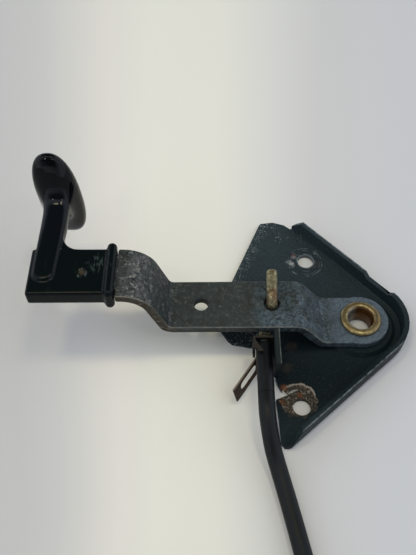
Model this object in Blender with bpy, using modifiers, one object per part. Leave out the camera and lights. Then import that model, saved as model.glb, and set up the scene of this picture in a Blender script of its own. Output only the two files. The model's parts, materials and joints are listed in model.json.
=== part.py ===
"""Hood release lever: a bent flat-bar lever with a moulded T-grip, turning on a hollow rivet in a
flanged sheet bracket, and pulling the inner wire of a sheathed cable through a Z-bent rod.

Frame: the bracket lies on Z = 0 with the origin midway between its bolt holes, the lever runs out
along -X and the grip points along +Y. The pieces are modelled round the pivot, whose axis is Z, and
are moved to that origin at the end. Sizes are in millimetres until they reach Blender.
"""

import math

import bmesh
import bpy
from mathutils import Matrix, Vector

MM = 0.001
CLEARANCE = 0.3              # between pieces that touch or fit in one another
ROUND_STEPS = 32             # facets round a bore or a pin

# Bracket, stamped from one sheet; its free edges run on anticlockwise from the upper flank's end
SHEET = 2.3
CORNER_RADIUS = 22.0         # outer face of the flange round the pivot
UPPER_FLANK_ANGLE = 42.0     # direction that the upper flank faces, degrees from +X
LOWER_FLANK_ANGLE = -48.9
UPPER_FLANK_LENGTH = 57.4
LOWER_FLANK_LENGTH = 65.8
FLANGE_HEIGHT = 10.5
FOLD_RADIUS = 3.2
CORNER_STEPS = 9
RELIEF_START = 0.5           # low stretch of the upper flange, from the end of the round corner
RELIEF_LENGTH = 12.8
RELIEF_DEPTH = 2.2
FLANGE_RAMP = 5.0            # the lower flange's end slopes down over this
BOSS_HEIGHT = 1.6
BOSS_TOP_RADIUS = 15.3
BOSS_FOOT_RADIUS = 18.0
TOP_EDGE = [(-25.2, 60.3), (-28.2, 59.7), (-31.4, 62.4), (-37.0, 64.2), (-43.2, 63.4), (-44.2, 62.3)]
LEFT_EDGE = [(-68.0, 4.6), (-67.8, 3.2), (-61.6, -6.8), (-59.6, -8.6), (-50.0, -10.6)]
TORN_EDGE = [(-40.4, -27.2), (-39.8, -29.6), (-38.2, -33.0), (-35.6, -35.4), (-38.3, -36.6), (-40.9, -37.7)]
LOWER_EDGE = [(-40.2, -45.0), (-39.7, -57.6), (-38.2, -59.6)]
BOLT_HOLE = 8.0
UPPER_BOLT = (-21.8, 38.6)
LOWER_BOLT = (-29.8, -41.2)
LUG_X = -41.6                # outer face of the bent-up lug
LUG_FAR_Y = -12.8
LUG_NEAR_Y = -30.5           # at the top; the lug is narrower at its foot
LUG_FOOT_NEAR_Y = -26.0
LUG_HEIGHT = 22.0
LUG_ROUND = 0.8
LUG_FOOT = 5.0               # how far the lug's section runs into the plate, past its fold
SKIN = 0.02                  # keeps the faces of joined shapes off each other
OPEN_END = 8.0               # how far the flange's hollow runs out past its two ends
TEAR_RADIUS = 8.3            # crescent tear round the lower bolt hole
TEAR_WIDTH = 1.0
TEAR_FROM = 97.0
TEAR_TO = 133.0

# Hollow rivet that the lever turns on
RIVET_SHANK = 13.0
RIVET_BORE = 9.7
RIVET_RING = 18.8
RIVET_RING_HEIGHT = 1.6
RIVET_MOUTH = 12.4
RIVET_CLINCH = 17.0
RIVET_CLINCH_HEIGHT = 1.0

# Lever, one length of flat bar
BAR_WIDTH = 25.0
BAR_THICKNESS = 4.0
EYE_WIDTH = 26.0
JOGGLE_START = -15.9         # end of the flat eye
JOGGLE_RISE = 13.7
JOGGLE_ANGLE = 52.0
JOGGLE_RADIUS = 6.0
CRANK_START = -86.0          # where the bar begins to rise to the grip
CRANK_RISE = 24.5
CRANK_ANGLE = 70.0
CRANK_LOW_RADIUS = 4.5
CRANK_HIGH_RADIUS = 13.0
BEND_STEPS = 7
SHOULDER_X = -108.9          # full width ends here, in front of the grip's collar
TANG_END_X = -140.4
TANG_WIDTH = 17.6
SPARE_HOLE = 6.3
SPARE_HOLE_X = -73.7
ROD_HOLE = 7.0
ROD_HOLE_X = -41.9
EDGE_ROUND = 0.35

# Grip, one black moulding
SLEEVE_PAST_TANG = 5.4
SLEEVE_WIDTH = 22.8
SLEEVE_FLOOR = 1.2
SLEEVE_ROOF = 1.6
SLEEVE_ROUND = 0.9
COLLAR_LENGTH = 4.2
COLLAR_WIDTH = 27.6
COLLAR_OVER = 2.0            # how far the collar stands above and below the sleeve
STALK_FROM_END = 7.1         # the stalk's middle, from the sleeve's closed end
STALK_WIDTH = 11.4
STALK_DEPTH = 10.6
STALK_BASE_Y = -7.0
STALK_SQUARE = 0.5           # how far a section is pulled out from an ellipse towards a box
HEAD_Y = 46.2
HEAD_WIDTH = 19.0
HEAD_LENGTH = 50.4
HEAD_DEPTH = 9.4
HEAD_SQUARE = 0.3
HEAD_LEAN = 0.075            # how far the head leans towards -X for each unit of height
WEB_RADIUS = 8.2
RING_POINTS = 12             # points round a section of the stalk and the head

# Z-bent rod and inner wire
ROD_DIAMETER = 5.0
ROD_BEND = 3.5
ROD_TOP_Y = 15.5
ROD_LOW_Y = -12.4
WIRE_DIAMETER = 1.8
WIRE_REACH = 37.0            # how far down the sheath the rigid part of the wire is drawn

# Sheathed cable and its holder
SHEATH_DIAMETER = 7.2
SHEATH_BORE = 4.6
SHEATH_X = -46.0
SLEEVE_MOUTH_Y = -16.9
SLEEVE_TAIL_Y = -41.0
HOLDER_SHEET = 1.0
HOLDER_BACK_Y = -15.3
HOLDER_ARM_Y = -21.5
HOLDER_FLAP_Y = -23.0
HOLDER_FLAP_REACH = 4.6
HOLDER_HOLE = 6.2

# Flat spring under the holder, which hooks round the lug's far edge
SPRING_THICKNESS = 0.7
SPRING_WIDTH = 8.2
SPRING_LEAN = 2.35           # how far its lower edge stands out to the near side of its upper one
SPRING_TAIL = (-59.0, -37.9)
SPRING_STRAIGHT = (-45.4, -17.4)
SPRING_SLOT_WIDTH = 4.3
SPRING_SLOT_FROM = 4.6       # from the tail end
SPRING_SLOT_TO = 17.5
SPRING_HOOK = 2.6            # how far it reaches past the lug's outer face

# Cable beyond the bracket, wound up
COIL_CENTRE = (-72.5, -163.5)
COIL_MEAN_RADIUS = 39.2
COIL_ACROSS = 3              # turns side by side
COIL_LAYERS = 2
TAIL_RUN = 40.5              # from the coil's middle to the end ferrule
TIE_WIDTH = 6.0
TIE_THICKNESS = 1.1
TIE_ANGLE = 125.0
FERRULE_DIAMETER = 9.2
FERRULE_LENGTH = 17.0
FERRULE_BORE = 3.0
FAR_WIRE_LENGTH = 26.0
NIPPLE_DIAMETER = 6.0
NIPPLE_LENGTH = 7.0

# Places and heights that follow from the sizes above
origin_x = (UPPER_BOLT[0] + LOWER_BOLT[0]) / 2
origin_y = (UPPER_BOLT[1] + LOWER_BOLT[1]) / 2
boss_top = SHEET + BOSS_HEIGHT
eye_bottom = boss_top + CLEARANCE
eye_top = eye_bottom + BAR_THICKNESS
arm_bottom = eye_bottom + JOGGLE_RISE
arm_top = arm_bottom + BAR_THICKNESS
tang_bottom = arm_bottom + CRANK_RISE
tang_top = tang_bottom + BAR_THICKNESS
tang_middle = tang_bottom + BAR_THICKNESS / 2
sleeve_end_x = TANG_END_X - SLEEVE_PAST_TANG
stalk_x = sleeve_end_x + STALK_FROM_END
sleeve_bottom = tang_bottom - CLEARANCE - SLEEVE_FLOOR
sleeve_top = tang_top + CLEARANCE + SLEEVE_ROOF
rod_top_z = arm_top + CLEARANCE + ROD_DIAMETER / 2
rod_low_z = arm_bottom - CLEARANCE - ROD_DIAMETER / 2 - 0.2
sheath_z = rod_low_z
sheath_radius = SHEATH_DIAMETER / 2
holder_top = sheath_z + sheath_radius + CLEARANCE + HOLDER_SHEET
spring_bottom = SHEET + CLEARANCE
holder_bottom = spring_bottom + SPRING_WIDTH + CLEARANCE


def clear_scene():
    for item in list(bpy.data.objects):
        bpy.data.objects.remove(item, do_unlink=True)
    for mesh in list(bpy.data.meshes):
        bpy.data.meshes.remove(mesh)


def make_collection(name):
    collection = bpy.data.collections.new(name)
    bpy.context.scene.collection.children.link(collection)
    return collection


clear_scene()
PARTS = make_collection("hood_release_lever")
CUTTERS = make_collection("cutters")


def make_material(name, colour, roughness, metallic=0.0):
    material = bpy.data.materials.new(name)
    material.use_nodes = True
    shader = material.node_tree.nodes["Principled BSDF"]
    shader.inputs["Base Color"].default_value = (*colour, 1.0)
    shader.inputs["Roughness"].default_value = roughness
    shader.inputs["Metallic"].default_value = metallic
    return material


def add_object(name, mesh, collection=PARTS, material=None):
    item = bpy.data.objects.new(name, mesh)
    collection.objects.link(item)
    if collection is CUTTERS:
        item.hide_render = True
        item.display_type = "WIRE"
    if material is not None:
        mesh.materials.clear()
        mesh.materials.append(material)
    return item


def metres(*values):
    return tuple(value * MM for value in values)


def evaluated_mesh(item, name):
    """A mesh of the object as its modifiers leave it, with its caps welded."""
    bpy.context.view_layer.update()
    depsgraph = bpy.context.evaluated_depsgraph_get()
    mesh = bpy.data.meshes.new_from_object(item.evaluated_get(depsgraph))
    mesh.name = name
    work = bmesh.new()
    work.from_mesh(mesh)
    bmesh.ops.remove_doubles(work, verts=work.verts, dist=0.002 * MM)
    bmesh.ops.recalc_face_normals(work, faces=work.faces)
    work.to_mesh(mesh)
    work.free()
    return mesh


def frozen(item, collection=PARTS):
    """Replace an object by a plain mesh of its evaluated shape."""
    name = item.name
    mesh = evaluated_mesh(item, name)
    place = item.matrix_world.copy()
    bpy.data.objects.remove(item, do_unlink=True)
    fresh = add_object(name, mesh, collection)
    fresh.matrix_world = place
    return fresh


def box(name, low, high, collection=CUTTERS):
    work = bmesh.new()
    bmesh.ops.create_cube(work, size=1.0)
    size = [(b - a) * MM for a, b in zip(low, high)]
    centre = [(a + b) / 2 * MM for a, b in zip(low, high)]
    bmesh.ops.scale(work, vec=size, verts=work.verts)
    mesh = bpy.data.meshes.new(name)
    work.to_mesh(mesh)
    work.free()
    item = add_object(name, mesh, collection)
    item.location = centre
    return item


def cylinder(name, diameter, low, high, place=(0.0, 0.0), steps=ROUND_STEPS, top=None, collection=CUTTERS):
    """A cylinder along Z, or a cone frustum where a top diameter is given."""
    work = bmesh.new()
    upper = diameter if top is None else top
    bmesh.ops.create_cone(
        work, cap_ends=True, segments=steps, radius1=diameter / 2 * MM, radius2=upper / 2 * MM,
        depth=(high - low) * MM,
    )
    mesh = bpy.data.meshes.new(name)
    work.to_mesh(mesh)
    work.free()
    item = add_object(name, mesh, collection)
    item.location = metres(place[0], place[1], (low + high) / 2)
    return item


def turned(name, profile, steps=ROUND_STEPS, collection=PARTS):
    """A closed (radius, height) profile turned about Z; its outer side runs from top to bottom."""
    mesh = bpy.data.meshes.new(name)
    points = [metres(radius, 0.0, height) for radius, height in profile]
    count = len(points)
    mesh.from_pydata(points, [(i, (i + 1) % count) for i in range(count)], [])
    item = add_object(name, mesh, collection)
    screw = item.modifiers.new("Turn", "SCREW")
    screw.steps = steps
    screw.render_steps = steps
    screw.use_merge_vertices = True
    screw.merge_threshold = 0.00001
    screw.use_normal_calculate = True
    return item


def slab(name, outline, low, high, collection=PARTS):
    """A flat outline in the XY plane, extruded from one height to another."""
    curve = bpy.data.curves.new(name, "CURVE")
    curve.dimensions = "2D"
    curve.fill_mode = "BOTH"
    curve.extrude = (high - low) / 2 * MM
    spline = curve.splines.new("POLY")
    spline.points.add(len(outline) - 1)
    for point, (x, y) in zip(spline.points, outline):
        point.co = (x * MM, y * MM, 0.0, 1.0)
    spline.use_cyclic_u = True
    item = bpy.data.objects.new(name, curve)
    collection.objects.link(item)
    item.location = metres(0.0, 0.0, (low + high) / 2)
    return frozen(item, collection)


def tube(name, route, diameter, sides=2, collection=PARTS):
    """A round bar along a list of points."""
    curve = bpy.data.curves.new(name, "CURVE")
    curve.dimensions = "3D"
    curve.bevel_depth = diameter / 2 * MM
    curve.bevel_resolution = sides
    curve.use_fill_caps = True
    spline = curve.splines.new("POLY")
    spline.points.add(len(route) - 1)
    for point, place in zip(spline.points, route):
        point.co = (*metres(*place), 1.0)
    item = bpy.data.objects.new(name, curve)
    collection.objects.link(item)
    return frozen(item, collection)


def combine(item, other, operation):
    """Join, cut or intersect an object with another, which becomes a hidden guide."""
    for collection in list(other.users_collection):
        collection.objects.unlink(other)
    CUTTERS.objects.link(other)
    other.hide_render = True
    other.display_type = "WIRE"
    step = item.modifiers.new(f"{operation.title()} {other.name}", "BOOLEAN")
    step.operation = operation
    step.solver = "EXACT"
    step.object = other
    return item


def round_edges(item, width, segments=2, angle=35.0):
    bevel = item.modifiers.new("Round edges", "BEVEL")
    bevel.width = width * MM
    bevel.segments = segments
    bevel.limit_method = "ANGLE"
    bevel.angle_limit = math.radians(angle)
    bevel.use_clamp_overlap = True
    return item


def finish(item, material, smooth_angle=35.0):
    """Give a piece its material and smooth shading below the given angle."""
    mesh = item.data
    mesh.materials.clear()
    mesh.materials.append(material)
    mesh.shade_smooth()
    mesh.set_sharp_from_angle(angle=math.radians(smooth_angle))
    return item


def arc(centre, radius, start, end, steps):
    """Points of an arc in the XY plane, angles in degrees."""
    points = []
    for i in range(steps + 1):
        angle = math.radians(start + (end - start) * i / steps)
        points.append((centre[0] + radius * math.cos(angle), centre[1] + radius * math.sin(angle)))
    return points


def flank_end(angle, length, turn):
    """The far end of a flank that leaves the round corner at the given angle."""
    facing = math.radians(angle)
    along = facing + turn * math.pi / 2
    x = CORNER_RADIUS * math.cos(facing) + length * math.cos(along)
    y = CORNER_RADIUS * math.sin(facing) + length * math.sin(along)
    return x, y


def bracket_outline():
    """The plate's edge, anticlockwise, with the number of points that the flange stands on."""
    corner = arc((0.0, 0.0), CORNER_RADIUS, LOWER_FLANK_ANGLE, UPPER_FLANK_ANGLE, CORNER_STEPS)
    flanged = [flank_end(LOWER_FLANK_ANGLE, LOWER_FLANK_LENGTH, -1.0)]
    flanged += corner
    flanged += [flank_end(UPPER_FLANK_ANGLE, UPPER_FLANK_LENGTH, 1.0)]
    fold = LUG_X + FOLD_RADIUS
    lug_foot = [(LUG_X, LUG_FAR_Y + 1.6), (fold, LUG_FAR_Y + 1.2), (fold, LUG_FAR_Y), (fold, LUG_FOOT_NEAR_Y)]
    return flanged + TOP_EDGE + LEFT_EDGE + lug_foot + TORN_EDGE + LOWER_EDGE, len(flanged)


def folded_prism(name, outline, folded, low, high, radius, collection=PARTS):
    """An upright prism whose lower edges along the first points of its outline are rounded."""
    work = bmesh.new()
    foot = [work.verts.new(metres(x, y, low)) for x, y in outline]
    face = work.faces.new(foot)
    raised = bmesh.ops.extrude_face_region(work, geom=[face])["geom"]
    lifted = [part for part in raised if isinstance(part, bmesh.types.BMVert)]
    bmesh.ops.translate(work, vec=metres(0.0, 0.0, high - low), verts=lifted)
    bmesh.ops.recalc_face_normals(work, faces=work.faces)
    run = [work.edges.get(pair) for pair in zip(foot[:folded], foot[1:folded])]
    bmesh.ops.bevel(
        work, geom=run, offset=radius * MM, offset_type="OFFSET", segments=4, profile=0.5, affect="EDGES",
    )
    bmesh.ops.recalc_face_normals(work, faces=work.faces)
    mesh = bpy.data.meshes.new(name)
    work.to_mesh(mesh)
    work.free()
    return add_object(name, mesh, collection)


def bent_lug():
    """The lug: a foot in the plate, the fold and the upright wall, as one section drawn out along Y."""
    fold = (LUG_X + FOLD_RADIUS, FOLD_RADIUS)
    foot_end = fold[0] + LUG_FOOT
    outer = arc(fold, FOLD_RADIUS, 270.0, 180.0, 5)
    inner = arc(fold, FOLD_RADIUS - SHEET, 180.0, 270.0, 4)
    section = [(foot_end, SKIN)] + [(x, max(z, SKIN)) for x, z in outer]
    section += [(LUG_X, LUG_HEIGHT - LUG_ROUND), (LUG_X + LUG_ROUND, LUG_HEIGHT), (LUG_X + SHEET, LUG_HEIGHT)]
    section += [(x, max(z, SHEET + SKIN)) for x, z in inner] + [(foot_end, SHEET - SKIN)]
    lug = slab("lug", section, -LUG_FAR_Y, -LUG_NEAR_Y, CUTTERS)
    lug.matrix_world = Matrix.Rotation(math.radians(90.0), 4, "X") @ lug.matrix_world
    lean = math.atan2(LUG_FOOT_NEAR_Y - LUG_NEAR_Y, LUG_HEIGHT)
    wide = FOLD_RADIUS + LUG_FOOT
    slope = box("lug_slope", (-wide, -LUG_HEIGHT, -LUG_HEIGHT), (wide, 0.0, 2 * LUG_HEIGHT))
    slope.matrix_world = (
        Matrix.Translation(metres(fold[0], LUG_FOOT_NEAR_Y, 0.0))
        @ Matrix.Rotation(lean, 4, "X")
        @ Matrix.Translation(slope.location)
    )
    combine(lug, slope, "DIFFERENCE")
    return frozen(lug, CUTTERS)


def flange_hollow(outline, flanged):
    """The space inside the flange, above the plate, which runs out past the plate's other edges."""
    inside = offset_line(outline[:flanged], SHEET)
    ends = []
    for here, before in ((0, 1), (-1, -2)):
        along = Vector(inside[here]) - Vector(inside[before])
        ends.append(tuple(Vector(inside[here]) + along.normalized() * OPEN_END))
    first, last = ends
    away = UPPER_FLANK_LENGTH + LOWER_FLANK_LENGTH
    rim = [first] + inside[1:-1] + [last]
    rim += [(last[0], away), (-away, away), (-away, -away), (first[0], -away)]
    return folded_prism(
        "flange_hollow", rim, flanged, SHEET, FLANGE_HEIGHT + SHEET, FOLD_RADIUS - SHEET, CUTTERS,
    )


def build_bracket(material):
    outline, flanged = bracket_outline()
    item = folded_prism("bracket_plate", outline, flanged, 0.0, FLANGE_HEIGHT, FOLD_RADIUS)
    combine(item, flange_hollow(outline, flanged), "DIFFERENCE")
    combine(item, bent_lug(), "UNION")

    boss = cylinder("boss", 2 * BOSS_FOOT_RADIUS, SHEET / 2, boss_top, top=2 * BOSS_TOP_RADIUS, steps=40)
    dent = cylinder(
        "boss_dent", 2 * (BOSS_FOOT_RADIUS - 1.0), -1.0, BOSS_HEIGHT, top=2 * (BOSS_TOP_RADIUS - 1.0), steps=40,
    )
    combine(item, boss, "UNION")
    combine(item, dent, "DIFFERENCE")
    combine(item, cylinder("rivet_hole", RIVET_SHANK + 2 * CLEARANCE, -1.0, boss_top + 1.0), "DIFFERENCE")
    combine(item, cylinder("bolt_hole_upper", BOLT_HOLE, -1.0, SHEET + 1.0, UPPER_BOLT), "DIFFERENCE")
    combine(item, cylinder("bolt_hole_lower", BOLT_HOLE, -1.0, SHEET + 1.0, LOWER_BOLT), "DIFFERENCE")

    # The tear: a crescent that is widest in its middle, round the lower bolt hole
    steps = 8
    outer = []
    inner = []
    for i in range(steps + 1):
        angle = math.radians(TEAR_FROM + (TEAR_TO - TEAR_FROM) * i / steps)
        half = TEAR_WIDTH / 2 * math.sin(math.pi * i / steps) + 0.05
        for points, radius in ((outer, TEAR_RADIUS + half), (inner, TEAR_RADIUS - half)):
            points.append((LOWER_BOLT[0] + radius * math.cos(angle), LOWER_BOLT[1] + radius * math.sin(angle)))
    tear = slab("tear", outer + inner[::-1], -1.0, SHEET + 1.0, CUTTERS)
    combine(item, tear, "DIFFERENCE")

    # The low stretch of the upper flange, and the ramp at the end of the lower one
    facing = math.radians(UPPER_FLANK_ANGLE)
    turn = Matrix.Rotation(facing, 4, "Z")
    relief = box(
        "flange_relief",
        (CORNER_RADIUS - 2 * SHEET, RELIEF_START, FLANGE_HEIGHT - RELIEF_DEPTH),
        (CORNER_RADIUS + SHEET, RELIEF_START + RELIEF_LENGTH, FLANGE_HEIGHT + SHEET),
    )
    relief.matrix_world = turn @ Matrix.Translation(relief.location)
    combine(item, relief, "DIFFERENCE")
    reach = FLANGE_RAMP * 1.5
    ramp = box("lower_ramp", (-SHEET * 2, -reach, -reach), (SHEET * 2, reach, reach))
    corner = metres(CORNER_RADIUS, -LOWER_FLANK_LENGTH - 0.3 * reach, FLANGE_HEIGHT + 0.3 * reach)
    ramp.matrix_world = (
        Matrix.Rotation(math.radians(LOWER_FLANK_ANGLE), 4, "Z")
        @ Matrix.Translation(corner)
        @ Matrix.Rotation(math.radians(45.0), 4, "X")
    )
    combine(item, ramp, "DIFFERENCE")
    finish(item, material, 30.0)
    return item


def build_rivet(material):
    ring_low = eye_top + CLEARANCE
    ring_high = ring_low + RIVET_RING_HEIGHT
    ring = RIVET_RING / 2
    mouth = RIVET_MOUTH / 2
    shank = RIVET_SHANK / 2
    bore = RIVET_BORE / 2
    clinch_top = BOSS_HEIGHT - CLEARANCE
    clinch_low = clinch_top - RIVET_CLINCH_HEIGHT
    profile = [
        (mouth + 0.5, ring_high - 0.15),
        (mouth + 1.2, ring_high),
        (ring - 0.9, ring_high - 0.2),
        (ring - 0.2, ring_high - 0.65),
        (ring, ring_low + 0.45),
        (ring - 0.3, ring_low),
        (shank, ring_low),
        (shank, clinch_top),
        (RIVET_CLINCH / 2, clinch_top),
        (RIVET_CLINCH / 2 - 0.4, clinch_low),
        (bore + 0.4, clinch_low),
        (bore, clinch_low + 0.5),
        (bore, ring_low - 2.2),
        (bore + 0.35, ring_low - 1.0),
        (mouth - 0.4, ring_high - 1.0),
        (mouth, ring_high - 0.45),
    ]
    item = frozen(turned("pivot_rivet", profile, 40))
    return finish(item, material)


def bent_bar_middle():
    """The middle line of the lever in the XZ plane, from the eye's end to the end of the tang."""
    points = [(EYE_WIDTH / 2 + 2.0, eye_bottom + BAR_THICKNESS / 2)]

    def bend(start, radius, angle, rise):
        """Go round a bend that turns the bar up (rise 1) or back to level (rise -1), towards -X."""
        swept = []
        for i in range(BEND_STEPS + 1):
            turned_by = math.radians(angle) * i / BEND_STEPS
            if rise > 0:
                dx = radius * math.sin(turned_by)
                dz = radius * (1.0 - math.cos(turned_by))
            else:
                full = math.radians(angle)
                dx = radius * (math.sin(full) - math.sin(full - turned_by))
                dz = radius * (math.cos(full - turned_by) - math.cos(full))
            swept.append((start[0] - dx, start[1] + dz))
        return swept

    def crank(start, rise, angle, first, second):
        """Two bends and the slope between them, which lift the bar by the rise."""
        full = math.radians(angle)
        first_bend = bend(start, first, angle, 1)
        slope = (rise - (first + second) * (1.0 - math.cos(full))) / math.sin(full)
        x, z = first_bend[-1]
        foot = (x - slope * math.cos(full), z + slope * math.sin(full))
        return first_bend + bend(foot, second, angle, -1)

    middle = eye_bottom + BAR_THICKNESS / 2
    points += crank((JOGGLE_START, middle), JOGGLE_RISE, JOGGLE_ANGLE, JOGGLE_RADIUS, JOGGLE_RADIUS)
    points += crank(
        (CRANK_START, middle + JOGGLE_RISE), CRANK_RISE, CRANK_ANGLE, CRANK_LOW_RADIUS, CRANK_HIGH_RADIUS,
    )
    points.append((TANG_END_X, tang_middle))
    return points


def offset_line(points, distance):
    """The line at a distance to the left of a line of points."""
    shifted = []
    for i, (x, z) in enumerate(points):
        before = Vector(points[max(i - 1, 0)])
        after = Vector(points[min(i + 1, len(points) - 1)])
        here = Vector((x, z))
        first = (here - before).normalized() if i > 0 else (after - here).normalized()
        second = (after - here).normalized() if i < len(points) - 1 else first
        mean = (first + second).normalized()
        reach = distance / max(mean.dot(first), 0.5)
        shifted.append((x - mean.y * reach, z + mean.x * reach))
    return shifted


def build_lever(material):
    middle = bent_bar_middle()
    upper = offset_line(middle, -BAR_THICKNESS / 2)
    lower = offset_line(middle, BAR_THICKNESS / 2)
    half = EYE_WIDTH / 2 + 1.0
    item = slab("lever_arm", upper + lower[::-1], -half, half)
    item.data.transform(Matrix.Rotation(math.radians(90.0), 4, "X"))
    item.location = (0.0, 0.0, 0.0)
    eye = EYE_WIDTH / 2
    bar = BAR_WIDTH / 2
    tang = TANG_WIDTH / 2
    joint = math.degrees(math.asin(bar / eye))
    plan = arc((0.0, 0.0), eye, -180.0 + joint, 180.0 - joint, 28)
    plan += [(SHOULDER_X + 0.5, bar), (SHOULDER_X, bar - 0.5), (SHOULDER_X, tang), (TANG_END_X - 1.0, tang)]
    plan += [(x, -y) for x, y in plan[-1:-5:-1]]
    outline = slab("lever_outline", plan, 0.0, tang_top + 4.0, CUTTERS)
    combine(item, outline, "INTERSECT")
    combine(item, cylinder("eye_bore", RIVET_SHANK + 2 * CLEARANCE, 0.0, eye_top + 2.0), "DIFFERENCE")
    for name, size, x in (("spare_hole", SPARE_HOLE, SPARE_HOLE_X), ("rod_hole", ROD_HOLE, ROD_HOLE_X)):
        combine(item, cylinder(name, size, arm_bottom - 2.0, arm_top + 2.0, (x, 0.0)), "DIFFERENCE")
    item = frozen(item)
    round_edges(item, EDGE_ROUND, 1, 50.0)
    return finish(item, material)


def ring_of(work, centre, half_x, half_z, square):
    """Points round a section across Y; square pulls them out towards a box."""
    ring = []
    for i in range(RING_POINTS):
        angle = 2 * math.pi * (i + 0.5) / RING_POINTS
        x = math.cos(angle)
        z = math.sin(angle)
        power = 1.0 - square
        x = math.copysign(abs(x) ** power, x)
        z = math.copysign(abs(z) ** power, z)
        ring.append(work.verts.new(metres(centre[0] + half_x * x, centre[1], centre[2] + half_z * z)))
    return ring


def build_grip_form():
    """Stalk and T-head: rings drawn out along Y and smoothed, the head's long way along Z."""
    middle = (sleeve_bottom + sleeve_top) / 2
    stalk_half = STALK_WIDTH / 2
    stalk_z = STALK_DEPTH / 2
    head_x = HEAD_WIDTH / 2
    head_z = HEAD_LENGTH / 2
    back = HEAD_Y - HEAD_DEPTH / 2
    front = HEAD_Y + HEAD_DEPTH / 2
    sections = [
        (STALK_BASE_Y, stalk_half * 0.62, stalk_z * 0.62),
        (STALK_BASE_Y + 0.9, stalk_half * 1.0, stalk_z * 1.0),
        (STALK_BASE_Y + 5.0, stalk_half * 1.06, stalk_z * 1.06),
        (back - 9.0, stalk_half * 1.06, stalk_z * 1.06),
        (back - 2.6, stalk_half * 1.12, stalk_z * 1.3),
        (back + 0.4, head_x * 0.8, head_z * 0.8),
        (back + 2.4, head_x * 1.0, head_z * 1.0),
        (HEAD_Y + 0.6, head_x * 1.05, head_z * 1.05),
        (front - 2.2, head_x * 0.94, head_z * 0.98),
        (front - 0.2, head_x * 0.62, head_z * 0.84),
    ]
    work = bmesh.new()
    rings = []
    for y, half_x, half_z in sections:
        share = min(max((y - (back - 2.6)) / 4.0, 0.0), 1.0)
        square = STALK_SQUARE + (HEAD_SQUARE - STALK_SQUARE) * share
        ring = ring_of(work, (stalk_x, y, middle), half_x, half_z, square)
        for vert in ring:
            vert.co.x -= share * HEAD_LEAN * (vert.co.z - middle * MM)
        rings.append(ring)
    for lower, upper in zip(rings, rings[1:]):
        for i in range(RING_POINTS):
            after = (i + 1) % RING_POINTS
            work.faces.new((lower[i], lower[after], upper[after], upper[i]))
    work.faces.new(rings[0][::-1])
    work.faces.new(rings[-1])
    bmesh.ops.recalc_face_normals(work, faces=work.faces)
    mesh = bpy.data.meshes.new("grip_form")
    work.to_mesh(mesh)
    work.free()
    item = add_object("grip_form", mesh, CUTTERS)
    smooth = item.modifiers.new("Smooth", "SUBSURF")
    smooth.levels = 2
    smooth.render_levels = 2
    return frozen(item, CUTTERS)


def build_grip(material):
    half = SLEEVE_WIDTH / 2
    collar_end = SHOULDER_X - CLEARANCE
    collar_start = collar_end - COLLAR_LENGTH
    item = box("grip", (sleeve_end_x, -half, sleeve_bottom), (collar_start + 1.0, half, sleeve_top), PARTS)
    round_edges(item, SLEEVE_ROUND, 3)
    item = frozen(item)
    collar = box(
        "collar",
        (collar_start, -COLLAR_WIDTH / 2, sleeve_bottom - COLLAR_OVER),
        (collar_end, COLLAR_WIDTH / 2, sleeve_top + COLLAR_OVER),
    )
    round_edges(collar, COLLAR_LENGTH * 0.45, 4)
    combine(item, frozen(collar, CUTTERS), "UNION")
    combine(item, build_grip_form(), "UNION")
    right = stalk_x + STALK_WIDTH / 2
    centre = (right + WEB_RADIUS, half + WEB_RADIUS)
    web = [(right - 3.0, half + WEB_RADIUS), (right - 3.0, half - 2.0), (right + WEB_RADIUS, half - 2.0)]
    web += arc(centre, WEB_RADIUS, -90.0, -180.0, 8)
    combine(item, slab("web", web, sleeve_bottom + 0.5, sleeve_top - 0.5, CUTTERS), "UNION")
    spare = TANG_WIDTH / 2 + CLEARANCE
    cavity = box(
        "tang_pocket",
        (TANG_END_X - CLEARANCE, -spare, tang_bottom - CLEARANCE),
        (collar_end + 1.0, spare, tang_top + CLEARANCE),
    )
    combine(item, cavity, "DIFFERENCE")
    return finish(item, material, 40.0)


def corner_arc(centre, start, end, radius, steps):
    """Points round a bend from one direction to another, both at right angles to each other."""
    points = []
    for i in range(steps + 1):
        angle = math.pi / 2 * i / steps
        offset = start * (radius * math.cos(angle)) + end * (radius * math.sin(angle))
        points.append(centre + offset)
    return points


def build_rod(material):
    up = Vector((0.0, 0.0, 1.0))
    far = Vector((0.0, 1.0, 0.0))
    hole = Vector((ROD_HOLE_X, 0.0, 0.0))
    low_end = Vector((SHEATH_X + 0.4, ROD_LOW_Y, rod_low_z))
    near = Vector((low_end.x - hole.x, low_end.y, 0.0)).normalized()
    top_centre = hole + far * ROD_BEND + up * (rod_top_z - ROD_BEND)
    low_centre = hole + near * ROD_BEND + up * (rod_low_z + ROD_BEND)
    route = [Vector((ROD_HOLE_X + 0.6, ROD_TOP_Y, rod_top_z))]
    route += corner_arc(top_centre, up, -far, ROD_BEND, 7)
    route += corner_arc(low_centre, -near, -up, ROD_BEND, 7)
    route.append(low_end)
    item = tube("cable_rod", route, ROD_DIAMETER, 4)
    return finish(item, material, 40.0)


def build_inner_wire(material):
    start = Vector((SHEATH_X + 0.4, ROD_LOW_Y - CLEARANCE, rod_low_z))
    route = [start, start + Vector((-0.3, -1.6, 0.0)), Vector((SHEATH_X, SLEEVE_MOUTH_Y + 1.0, sheath_z))]
    route.append(Vector((SHEATH_X, -WIRE_REACH, sheath_z)))
    item = tube("inner_wire", route, WIRE_DIAMETER, 2)
    return finish(item, material)


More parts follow.
